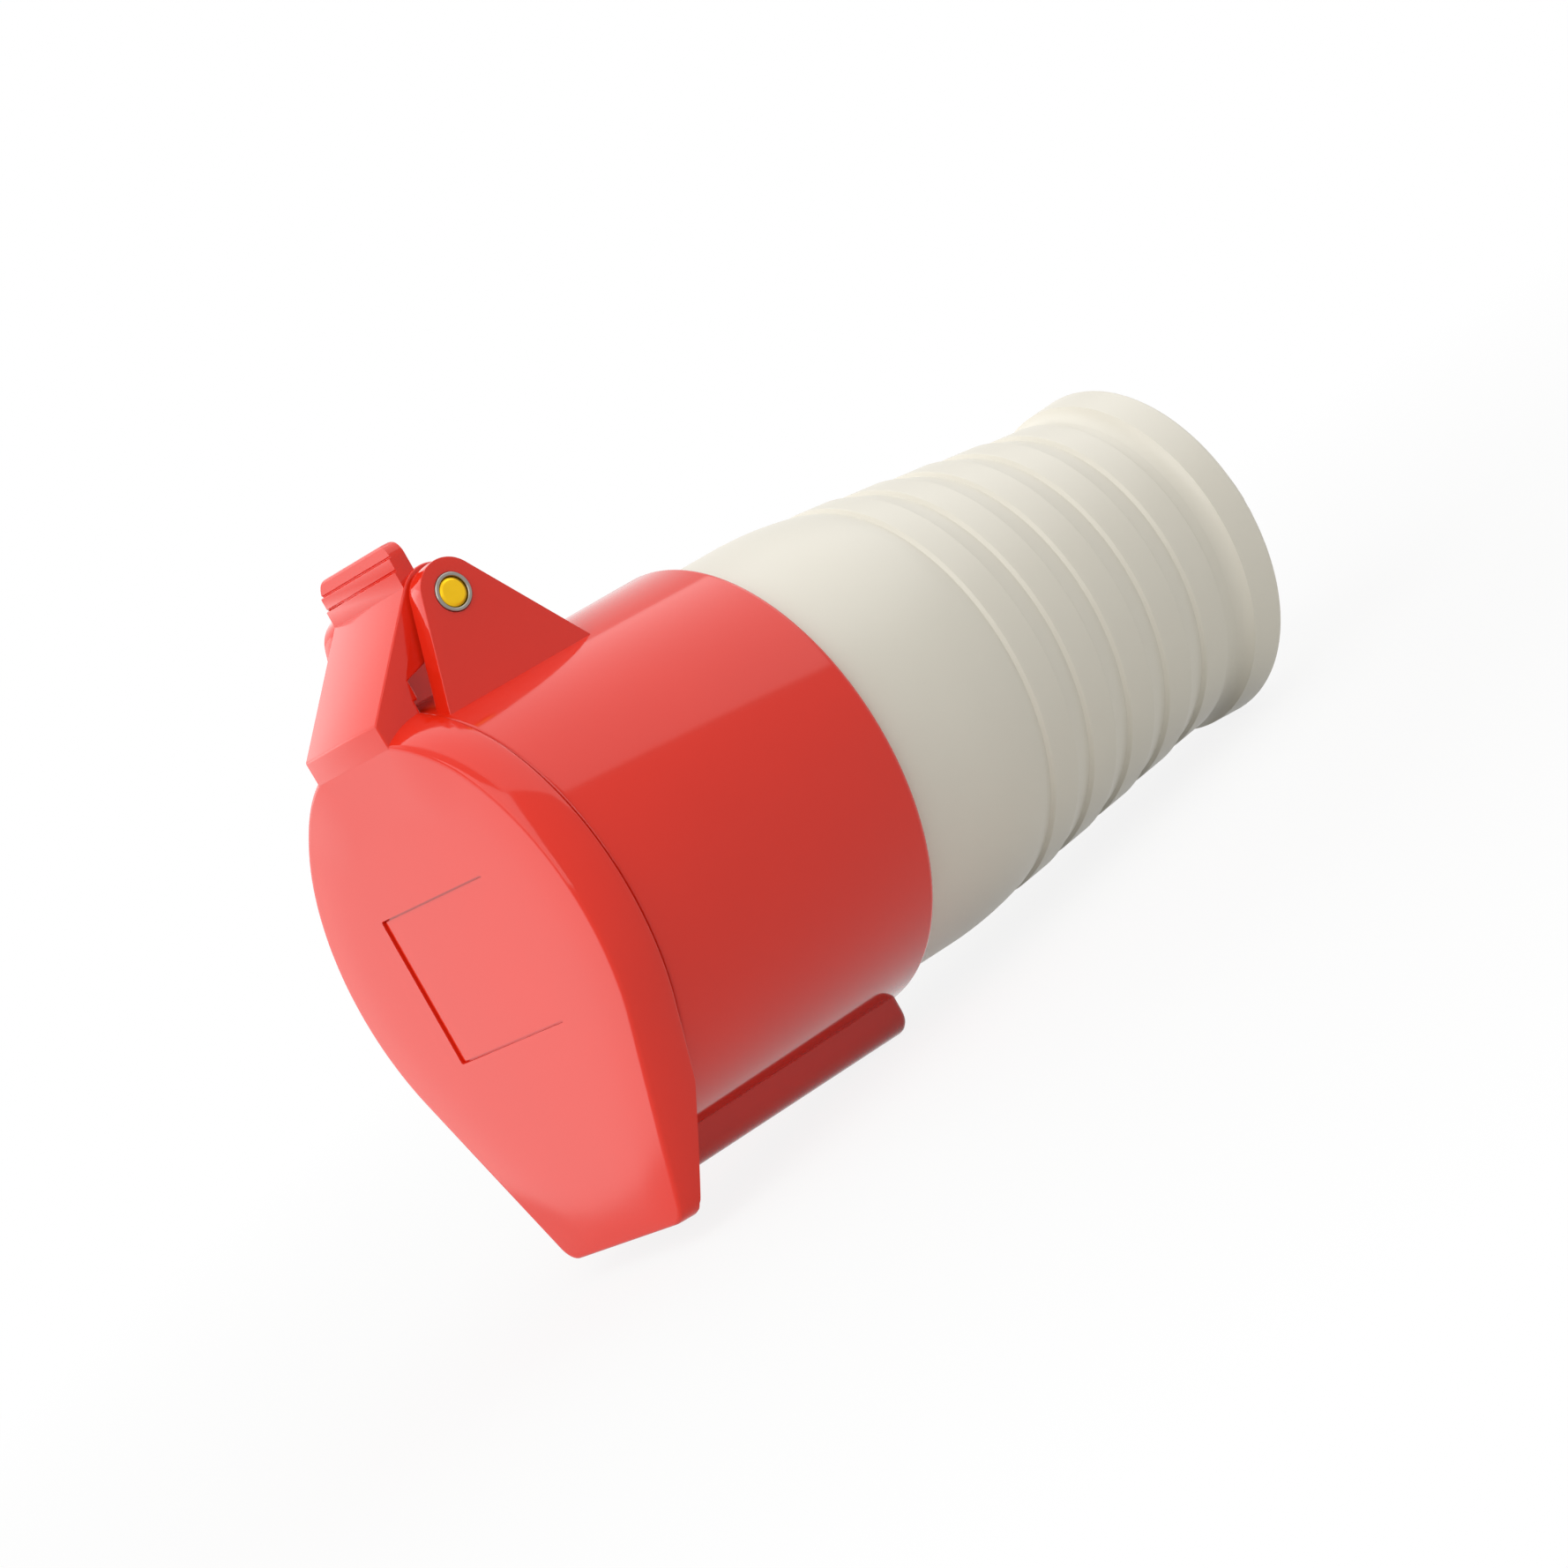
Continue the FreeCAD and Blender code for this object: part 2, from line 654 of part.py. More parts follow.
def make_terminal_screws():
    """A slotted set screw for each contact, standing radially over its wire."""
    screws = []
    for index in range(len(CONTACT_NAMES)):
        outer = "%s + contact_wall" % pin_radius_of(index)
        shank = linked_primitive("Part::Cylinder", "screw_shank_%d" % index,
                                 {"Radius": "terminal_screw_radius", "Height": outer + " + 0.6"})
        place(shank, "0", TERMINAL, "-contact_circle", DOWN)
        slot = linked_primitive("Part::Box", "screw_slot_%d" % index,
                                {"Length": "0.5", "Width": "2 * terminal_screw_radius + 1", "Height": "1"})
        place(slot, "-0.25", TERMINAL + " - terminal_screw_radius - 0.5",
              "-contact_circle - (%s) - 0.6 - 0.2" % outer)
        screw = cut_of("terminal_screw_%d" % index, shank, slot)
        screw.Placement = spin(index)
        screws.append(screw)
    return group_of("terminal_screws", screws)


# Handle and cable gland

SEAT = "gland_start + gland_ledge"
SEAT_RADIUS = "gland_radius - 1.8"
CLAW = SEAT + " + gland_seal_length + 2 * stack_gap"
WASHER = CLAW + " + claw_length + stack_gap"
NUT = WASHER + " + washer_thickness + stack_gap"


def make_handle():
    body = new_body("handle")
    front = "spigot_start + 0.2"
    groove = "seal_ring_radius + 0.8"
    drop = "shoulder_drop"
    outline = [
        (front, "handle_radius - handle_wall"),
        (front, "handle_radius"),
        ("seal_place - seal_ring_radius - 0.3", "handle_radius"),
        ("seal_place - seal_ring_radius - 0.3", "handle_radius - (%s)" % groove),
        ("seal_place + seal_ring_radius + 0.3", "handle_radius - (%s)" % groove),
        ("seal_place + seal_ring_radius + 0.3", "handle_radius"),
        ("shoulder_start", "handle_radius",
         "((shoulder_end - shoulder_start)^2 + %s^2) / (2 * %s)" % (drop, drop), -1, False),
        ("shoulder_end", "handle_radius - shoulder_drop"),
    ]
    for ring in range(int(size("ring_count"))):
        start = "ring_start + %d * ring_pitch" % ring
        crest = "first_ring_radius - %d * ring_fall" % ring
        outline += [
            (start, crest + " - ring_step"),
            (start + " + 0.6", crest),
            (start + " + 0.6 * ring_pitch", crest + " - 0.4 * ring_fall"),
            (start + " + 0.6 * ring_pitch + 0.15", crest + " - 0.4 * ring_fall - 0.15"),
        ]
    rise = "(rim_radius - waist_radius)"
    outline += [
        ("waist_start", "waist_radius",
         "((rim_start - waist_start)^2 + %s^2) / (2 * %s)" % (rise, rise), 1, False),
        ("rim_start", "rim_radius"),
        ("handle_end - 0.4", "rim_radius"),
        ("handle_end", "rim_radius - 0.4"),
        ("handle_end", "gland_radius + stack_gap"),
        (NUT + " - stack_gap", "gland_radius + stack_gap"),
        (NUT + " - stack_gap", SEAT_RADIUS),
        (SEAT, SEAT_RADIUS),
        (SEAT, "gland_mouth_radius"),
        ("gland_start", "gland_mouth_radius"),
        ("gland_start", "gland_radius + handle_wall"),
        ("handle_end - handle_wall - 0.5", "gland_radius + handle_wall"),
        ("handle_end - handle_wall - 0.5", "waist_radius - handle_wall"),
        ("waist_start", "waist_radius - handle_wall"),
        ("ring_start", "first_ring_radius - ring_step - handle_wall"),
        ("shoulder_start", "handle_radius - handle_wall"),
    ]
    turned(body, "grip", outline)
    return body


def make_gland_nut():
    body = new_body("gland_nut")
    knob = "handle_end + stack_gap"
    end = knob + " + nut_length"
    turned(body, "nut", [
        (NUT, "cable_radius"),
        (NUT, "gland_radius - 0.6"),
        (NUT + " + 0.6", "gland_radius"),
        (knob, "gland_radius"),
        (knob, "nut_radius"),
        (end + " - nut_edge", "nut_radius", "nut_edge", -1, False),
        (end, "nut_radius - nut_edge"),
        (end, "cable_radius + 1.5"),
        (end + " - 1.5", "cable_radius"),
    ])
    flute = along_axis(body, "grip_flute", knob + " - 0.1", "nut_length + 1",
                       lambda sketch: draw_circle(sketch, "0", "nut_radius + flute_radius / 2", "flute_radius"),
                       cut=True)
    repeated(body, "grip_flutes", flute, "PartDesign::PolarPattern",
             Axis=(origin_part(body, "Y_Axis"), [""]), Angle=360, Occurrences=int(size("nut_flutes")))
    return body


def make_ring(label, start, length, inner, outer, edge="0.4"):
    """A plain turned ring with its outer edges broken."""
    body = new_body(label)
    end = "%s + %s" % (start, length)
    turned(body, "ring", [
        (start, inner),
        (start, "%s - %s" % (outer, edge)),
        ("%s + %s" % (start, edge), outer),
        ("%s - %s" % (end, edge), outer),
        (end, "%s - %s" % (outer, edge)),
        (end, inner),
    ])
    return body


def make_housing_seal():
    ring = linked_primitive("Part::Torus", "seal_ring", {
        "Radius1": "handle_radius + fit_gap - seal_ring_radius - 0.05",
        "Radius2": "seal_ring_radius",
    })
    place(ring, "0", "seal_place", "0", ALONG_Y)
    return group_of("housing_seal", [ring])


# Hinge

def make_pin():
    reach = "ear_outer + pin_overhang"
    shank = linked_primitive("Part::Cylinder", "pin_shank", {"Radius": "pin_radius", "Height": "2 * (%s)" % reach})
    place(shank, "-(%s)" % reach, "hinge_setback", "hinge_height", ALONG_X)
    pin = doc.addObject("Part::Chamfer", "hinge_pin")
    pin.Base = shank
    doc.recompute()
    pin.Edges = [(index, 0.3, 0.3) for index, edge in enumerate(shank.Shape.Edges, start=1)
                 if near(edge.Length, 2 * math.pi * size("pin_radius"))]
    pin.Label = "hinge_pin"
    return pin


def make_bush(label, start):
    outer = linked_primitive("Part::Cylinder", label + "_outer", {
        "Radius": "bush_radius", "Height": "ear_thickness + pin_overhang / 2"})
    inner = linked_primitive("Part::Cylinder", label + "_inner", {
        "Radius": "pin_radius + fit_gap / 2", "Height": "ear_thickness + 2"})
    place(outer, start, "hinge_setback", "hinge_height", ALONG_X)
    place(inner, start + " - 1", "hinge_setback", "hinge_height", ALONG_X)
    return cut_of(label, outer, inner)


def make_spring():
    """The torsion spring round the pin: a coil, one leg down onto the collar, one up under the lid."""
    wire = size("spring_wire") / 2
    radius = size("spring_radius")
    half = size("spring_half_length")
    centre = V(0, size("hinge_setback"), size("hinge_height"))
    # The lid leg lies along the slope of the hinge block, which runs tangent to the knuckle.
    heading = slope_angle()
    sweep = heading + 90 + 360 * size("spring_turns")
    coil = Part.makeHelix(2 * half * 360 / sweep, 2 * half, radius).Edges[0]
    first, last = coil.FirstParameter, coil.LastParameter
    collar_top = math.sqrt(size("collar_radius") ** 2 - (half + 1) ** 2)
    drop = centre.z - collar_top - size("fit_gap") - wire
    # Both legs leave the coil straight on, so that one sweep makes the whole wire.
    foot = coil.valueAt(first) - coil.tangentAt(first) * drop
    tip = coil.valueAt(last) + coil.tangentAt(last) * size("spring_leg")
    path = Part.Wire([Part.makeLine(foot, coil.valueAt(first)), coil, Part.makeLine(coil.valueAt(last), tip)])
    profile = Part.Wire([Part.Circle(foot, coil.tangentAt(first), wire).toShape()])
    spring = doc.addObject("Part::Feature", "lid_spring")
    spring.Label = "lid_spring"
    spring.Shape = path.makePipeShell([profile], True, False)
    # The helix is drawn about Z from X; this turns its axis to X with its start behind the pin.
    spring.Placement = FreeCAD.Placement(centre - V(half, 0, 0),
                                         FreeCAD.Rotation(V(0, 1, 0), V(0, 0, 1), V(1, 0, 0), "XYZ"))
    return spring


# Lid

def slope_angle():
    """Steepness of the hinge block's front slope, which touches the knuckle circle."""
    away = V(size("hinge_setback") + size("lid_rim_depth") + size("lid_crown"),
             size("hinge_height") - size("block_fold_height"), 0)
    return math.degrees(math.atan2(away.y, away.x) + math.asin(size("knuckle_radius") / away.Length))


def tailed_outline(along, radius, reach, corner):
    """A circle with a tapering tail below it, as a wire at one place along the axis."""
    lean = math.radians(size("tail_angle"))
    out = V(math.cos(lean), 0, -math.sin(lean))
    down = V(-math.sin(lean), 0, -math.cos(lean))
    touch = out * radius
    foot = touch + down * ((reach - radius * math.sin(lean)) / math.cos(lean))
    # The corner's arc touches the side and the level bottom.
    trim = corner * math.tan((math.pi / 2 - lean) / 2)
    side_end = foot - down * trim
    flat_end = foot - V(trim, 0, 0)
    hub = side_end - out * corner
    halfway = (lean + math.pi / 2) / 2
    knee = hub + V(math.cos(halfway), 0, -math.sin(halfway)) * corner

    def at(point, side=1):
        return V(point.x * side, along, point.z)

    return Part.Wire([
        Part.Arc(at(touch), V(0, along, radius), at(touch, -1)).toShape(),
        Part.makeLine(at(touch, -1), at(side_end, -1)),
        Part.Arc(at(side_end, -1), at(knee, -1), at(flat_end, -1)).toShape(),
        Part.makeLine(at(flat_end, -1), at(flat_end)),
        Part.Arc(at(flat_end), at(knee), at(side_end)).toShape(),
        Part.makeLine(at(side_end), at(touch)),
    ])


def side_profile(points, half_width, start=None):
    """A block drawn from the side as (along, up) points and run across the coupler."""
    low = -half_width if start is None else start
    loop = [V(low, along, up) for along, up in points]
    face = Part.Face(Part.makePolygon(loop + loop[:1]))
    return face.extrude(V(half_width - low, 0, 0))


def turned_solid(points):
    """A solid turned about the axis from (along, radius) points."""
    loop = [V(0, along, radius) for along, radius in points]
    return Part.Face(Part.makePolygon(loop + loop[:1])).revolve(V(0, 0, 0), V(0, 1, 0), 360)


def rim_radius_at(along):
    """Outer radius of the lid's round wall, which widens from the face to the seam."""
    part_way = (along + size("lid_rim_depth")) / (size("lid_rim_depth") - size("seam_gap"))
    return size("lid_face_radius") + (size("lid_radius") - size("lid_face_radius")) * part_way


def make_shell():
    """The lid's outer skin: a crowned round face with a tail, trimmed back at the rear of the tail."""
    seam = -size("seam_gap")
    face = -size("lid_rim_depth")
    front = face - size("lid_crown")
    reach = size("tail_reach")
    corner = size("tail_round")
    sections = [
        tailed_outline(seam, size("lid_radius"), reach, corner),
        tailed_outline(face, size("lid_face_radius"), reach, corner),
        tailed_outline(front, size("lid_panel_radius"), reach - size("tail_panel_margin"), corner),
    ]
    skin = Part.makeLoft(sections, True, True)
    crease = [edge for edge in skin.Edges
              if near(edge.BoundBox.YMin, face) and near(edge.BoundBox.YMax, face)]
    skin = skin.makeFillet(size("lid_edge_round"), crease)
    slope = size("tail_trim_depth") / (reach - size("tail_trim_start"))
    start = -size("tail_trim_start")
    low = -reach - 10
    return skin.cut(side_profile([(0, start), (slope * (low - start), low), (5, low), (5, start)],
                                 2 * size("lid_radius")))


def make_hollow():
    """The room inside the lid: a stepped bowl that seats the gasket, and a pocket in the tail."""
    wall = size("lid_wall")
    floor = -size("lid_rim_depth") - size("lid_crown") + wall
    shelf = -3.5
    gasket_inner = rim_radius_at(shelf) - wall - size("gasket_width")
    bowl = turned_solid([
        (0.5, 0),
        (0.5, rim_radius_at(0.5) - wall),
        (shelf, rim_radius_at(shelf) - wall),
        (shelf, gasket_inner),
        (floor, gasket_inner),
        (floor, 0),
    ])
    inner = Part.makeLoft([
        tailed_outline(0.5, rim_radius_at(0.5) - wall, size("tail_reach") - wall, size("tail_round") / 2),
        tailed_outline(floor, rim_radius_at(floor) - wall, size("tail_reach") - wall, size("tail_round") / 2),
    ], True, True)
    round_wall = turned_solid([
        (1, 0),
        (1, rim_radius_at(1) - 0.4),
        (floor - 1, rim_radius_at(floor - 1) - 0.4),
        (floor - 1, 0),
    ])
    return bowl, inner.cut(round_wall)


def make_block():
    """The hinge block: two cheeks with the knuckle bores, a sloped skin between them, and the thumb tab."""
    half = size("block_half_width")
    inside = half - size("block_cheek")
    front = -size("lid_rim_depth") - size("lid_crown")
    fold = size("block_fold_height")
    centre = (size("hinge_setback"), size("hinge_height"))
    lean = math.radians(slope_angle())
    normal = (-math.sin(lean), math.cos(lean))
    knuckle = size("knuckle_radius")
    skin = size("block_skin")
    root = size("lid_panel_radius") * 0.8
    notch = size("block_notch_height")
    clear = size("collar_radius") + 2 * size("seam_gap")

    def round_point(radius, angle=None):
        if angle is None:
            return centre[0] + normal[0] * radius, centre[1] + normal[1] * radius
        return centre[0] + radius * math.cos(math.radians(angle)), centre[1] + radius * math.sin(math.radians(angle))

    seam = -size("seam_gap")
    solid = side_profile([
        (front, root),
        (front, fold),
        round_point(knuckle),
        round_point(knuckle * 0.9, 250),
        (0.5, notch),
        (0.5, clear),
        (seam, clear),
        (seam, root),
    ], half)
    long_edges = [edge for edge in solid.Edges
                  if near(abs(edge.CenterOfMass.x), half) and edge.CenterOfMass.z > fold - 10
                  and all(v.Point.y <= round_point(knuckle)[0] + 0.01 for v in edge.Vertexes)
                  and edge.CenterOfMass.y < 3 and edge.Length > 10]
    fold_edge = [edge for edge in solid.Edges
                 if near(edge.CenterOfMass.x, 0) and near(edge.CenterOfMass.y, front)
                 and near(edge.CenterOfMass.z, fold)]
    solid = solid.makeFillet(0.8, long_edges + fold_edge)
    drum = Part.makeCylinder(knuckle, 2 * half, V(-half, centre[0], centre[1]), V(1, 0, 0))
    solid = solid.fuse(drum)
    floor = front + size("lid_wall")
    drop = skin / math.cos(lean)
    under = fold + (floor - front) * math.tan(lean) - drop
    room = side_profile([
        (floor, root - 5),
        (floor, under),
        round_point(knuckle - skin),
        centre,
        (centre[0], centre[1] + knuckle + 1),
        (centre[0] + knuckle + 1, centre[1] + knuckle + 1),
        (centre[0] + knuckle + 1, root - 5),
    ], inside)
    room = room.fuse(Part.makeCylinder(knuckle - skin, 2 * inside, V(-inside, centre[0], centre[1]), V(1, 0, 0)))
    return solid, room


def make_tab():
    """The thumb tab: an upright plate with stepped ribs down its front and rounded top corners."""
    half = size("tab_half_width")
    front = size("tab_front")
    step = size("rib_step")
    pitch = size("rib_pitch")
    top = size("tab_top")
    base = size("hinge_height") + size("knuckle_radius")
    back = front + size("tab_thickness") + step
    plate = side_profile([
        (front, base - 2),
        (front, top - 2 * pitch),
        (front + step, top - 2 * pitch),
        (front + step, top - pitch),
        (front + 2 * step, top - pitch),
        (front + 2 * step + 0.3, top),
        (back, top),
        (back, base - 1.2),
    ], half)
    round_ = size("tab_corner")
    depth = 4 * size("tab_thickness")
    frame = Part.makeBox(2 * half, 2 * depth, top - base + 3, V(-half, front - depth, base - 3))
    tops = [edge for edge in frame.Edges
            if near(edge.BoundBox.ZMin, top) and near(edge.BoundBox.ZMax, top)
            and near(abs(edge.CenterOfMass.x), half)]
    return plate.common(frame.makeFillet(round_, tops))


def make_lid():
    front = -size("lid_rim_depth") - size("lid_crown")
    shell = make_shell()
    bowl, tail_room = make_hollow()
    block, room = make_block()
    bore = Part.makeCylinder(size("pin_radius") + size("running_gap"), 4 * size("block_half_width"),
                             V(-2 * size("block_half_width"), size("hinge_setback"), size("hinge_height")), V(1, 0, 0))
    label = Part.makeBox(size("label_width"), size("label_depth") + 1, size("label_height"),
                         V(-size("label_width") / 2, front - 1, -size("label_height") / 2 - 0.5))
    # The round wall stays whole under the hinge block and behind the trimmed tail, so the gasket is backed.
    wall = size("lid_wall")
    seam = -size("seam_gap")
    floor = front + wall
    backing = turned_solid([
        (seam, rim_radius_at(seam) - wall),
        (seam, rim_radius_at(seam) - 0.4),
        (floor - 1, rim_radius_at(floor - 1) - 0.4),
        (floor - 1, rim_radius_at(floor - 1) - wall),
    ])
    solid = shell.fuse(block).cut(room).fuse(backing).fuse(make_tab())
    solid = solid.cut(bowl).cut(tail_room).cut(bore).cut(label)
    lid = doc.addObject("Part::Feature", "lid")
    lid.Label = "lid"
    lid.Shape = solid.removeSplitter()
    return lid


def make_gasket():
    body = new_body("lid_gasket")
    wall = size("lid_wall")
    taper = "(lid_radius - lid_face_radius) / (lid_rim_depth - seam_gap)"
    outer = "lid_radius - lid_wall - 0.1"
    deep = "3.1 * " + taper
    turned(body, "seal", [
        ("-seam_gap", "%s - gasket_width" % outer),
        ("-seam_gap", outer),
        ("-seam_gap - 3.1", "%s - %s" % (outer, deep)),
        ("-seam_gap - 3.1", "%s - gasket_width" % outer),
    ])
    return body


# The whole coupler

def resting_place(pieces):
    """Set the coupler down on the rear of its key channel and the rim of its handle, over the origin."""
    corner = size("key_round") / 2
    heel = V(0, size("key_length") - corner, -size("key_reach") + corner)
    rim = V(0, size("handle_end") - 0.4, -size("rim_radius"))
    away = rim - heel
    nose_up = math.atan2(away.z, away.y) + math.asin(corner / away.Length)
    tilt = FreeCAD.Placement(V(0, 0, 0), FreeCAD.Rotation(V(1, 0, 0), -math.degrees(nose_up)))
    for piece in pieces:
        piece.Placement = tilt.multiply(piece.Placement)
    doc.recompute()
    box = Part.makeCompound([piece.Shape for piece in pieces]).optimalBoundingBox(False, False)
    shift = FreeCAD.Placement(V(-box.Center.x, -box.Center.y, -box.ZMin), FreeCAD.Rotation())
    for piece in pieces:
        piece.Placement = shift.multiply(piece.Placement)
    doc.recompute()
    print("nose up %.4f degrees, moved %.4f %.4f %.4f" % (math.degrees(nose_up), *shift.Base))


def build_pieces():
    pieces = [
        make_collar(),
        make_lid(),
        make_gasket(),
        make_pin(),
        make_bush("hinge_bush_right", "ear_outer - ear_thickness"),
        make_bush("hinge_bush_left", "-ear_outer - pin_overhang / 2"),
        make_spring(),
        make_face(),
        make_chambers(),
        make_carrier(),
        make_retainer(),
        make_retainer_screw(),
    ]
    for index in range(len(CONTACT_NAMES)):
        contact = make_contact(index)
        contact.Placement = spin(index)
        pieces.append(contact)
    pieces += [
        make_spring_rings(),
        make_terminal_screws(),
        make_handle(),
        make_housing_seal(),
        make_ring("gland_seal", SEAT + " + stack_gap", "gland_seal_length", "seal_bore_radius",
                  SEAT_RADIUS + " - 0.2", "1"),
        make_ring("clamping_ring", CLAW, "claw_length", "cable_radius + 0.2", SEAT_RADIUS + " - 0.2"),
        make_ring("thrust_washer", WASHER, "washer_thickness", "cable_radius + 0.2", SEAT_RADIUS + " - 0.35", "0.2"),
        make_gland_nut(),
    ]
    doc.recompute()
    return pieces


pieces = build_pieces()
resting_place(pieces)
for item in doc.Objects:
    if {"Invalid", "Error"} & set(item.State):
        raise RuntimeError("%s is %s" % (item.Label, item.State))
os.makedirs("parts", exist_ok=True)
for piece in pieces:
    shape = piece.Shape
    if shape.isNull() or not shape.isValid():
        raise RuntimeError(piece.Label + " has no valid shape")
    if len(shape.Solids) != max(1, len(getattr(piece, "Links", []))):
        raise RuntimeError("%s has %d solids" % (piece.Label, len(shape.Solids)))
    shape.exportStep("parts/%s.step" % piece.Label)
    print("%-22s %9.1f mm3" % (piece.Label, shape.Volume))
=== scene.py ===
import json
import math

import bmesh
import bpy
from mathutils import Matrix, Vector


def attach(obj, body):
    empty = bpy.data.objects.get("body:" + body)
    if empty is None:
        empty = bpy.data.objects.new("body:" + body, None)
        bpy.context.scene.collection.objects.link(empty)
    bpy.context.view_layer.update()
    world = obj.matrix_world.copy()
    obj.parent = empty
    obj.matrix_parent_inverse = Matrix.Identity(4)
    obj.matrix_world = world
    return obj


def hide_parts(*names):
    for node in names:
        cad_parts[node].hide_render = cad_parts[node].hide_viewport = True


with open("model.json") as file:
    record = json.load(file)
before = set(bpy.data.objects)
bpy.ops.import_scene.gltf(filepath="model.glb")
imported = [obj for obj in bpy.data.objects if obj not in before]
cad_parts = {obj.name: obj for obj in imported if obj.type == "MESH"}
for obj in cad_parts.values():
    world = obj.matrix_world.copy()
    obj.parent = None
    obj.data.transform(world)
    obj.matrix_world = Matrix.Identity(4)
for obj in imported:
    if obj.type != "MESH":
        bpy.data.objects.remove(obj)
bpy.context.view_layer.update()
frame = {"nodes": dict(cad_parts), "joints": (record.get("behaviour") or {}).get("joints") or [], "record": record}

bl_info = {
    "name": "Industrial cable coupler",
    "version": (1, 0, 0),
    "blender": (4, 5, 0),
    "location": "View3D > Sidebar > Coupler",
    "description": "Models the visible shells of a cable coupler around its packed CAD frame",
    "category": "Object",
}

MM = 0.001

# Faces that meet at less than this angle are shaded as one round surface.
SMOOTH_ANGLE = math.radians(32)

# The coupler lies tilted in the row frame. Its own frame has +Y from the lid to the cable and +Z to the
# hinge, with the front edge of the collar at Y = 0. Pieces are modelled there and then laid in place.
HINGE_SETBACK = 11.8 * MM
HINGE_HEIGHT = 48.5 * MM

# Steps in one turn of the round forms about the pin, and of a grip flute.
PIN_STEPS = 96
FLUTE_STEPS = 32


def joint(name):
    """One of the frame's joints, by name."""
    return next(j for j in frame["joints"] if j["name"] == name)


def coupler_frame():
    """The coupler's own frame in the row frame, found from the gland's axis and the lid's hinge."""
    along = Vector(joint("gland_slide")["axis"]).normalized()
    across = Vector((1, 0, 0))
    up = across.cross(along)
    turn = Matrix((across, along, up)).transposed()
    pin = turn @ Vector((0, HINGE_SETBACK, HINGE_HEIGHT))
    return Matrix.Translation(Vector(joint("lid_hinge")["pos_m"]) - pin) @ turn.to_4x4()


COUPLER = coupler_frame()


def length(name, description, millimetres, **more):
    """A length that the user can change in the sidebar."""
    return bpy.props.FloatProperty(name=name, description=description, default=millimetres * MM,
                                   unit="LENGTH", precision=4, **more)


def whole_number(name, description, number):
    """A whole number that the user can change in the sidebar."""
    return bpy.props.IntProperty(name=name, description=description, default=number)


def colour(name, description, hex_value):
    """A colour that the user can change in the sidebar, given as an sRGB hex value."""
    return bpy.props.FloatVectorProperty(name=name, description=description, default=linear(hex_value),
                                         size=3, min=0, max=1, subtype="COLOR")


def linear(hex_value):
    """Linear red, green and blue of an sRGB hex value."""
    parts = [int(hex_value[i:i + 2], 16) / 255 for i in (1, 3, 5)]
    return tuple(p / 12.92 if p <= 0.04045 else ((p + 0.055) / 1.055) ** 2.4 for p in parts)


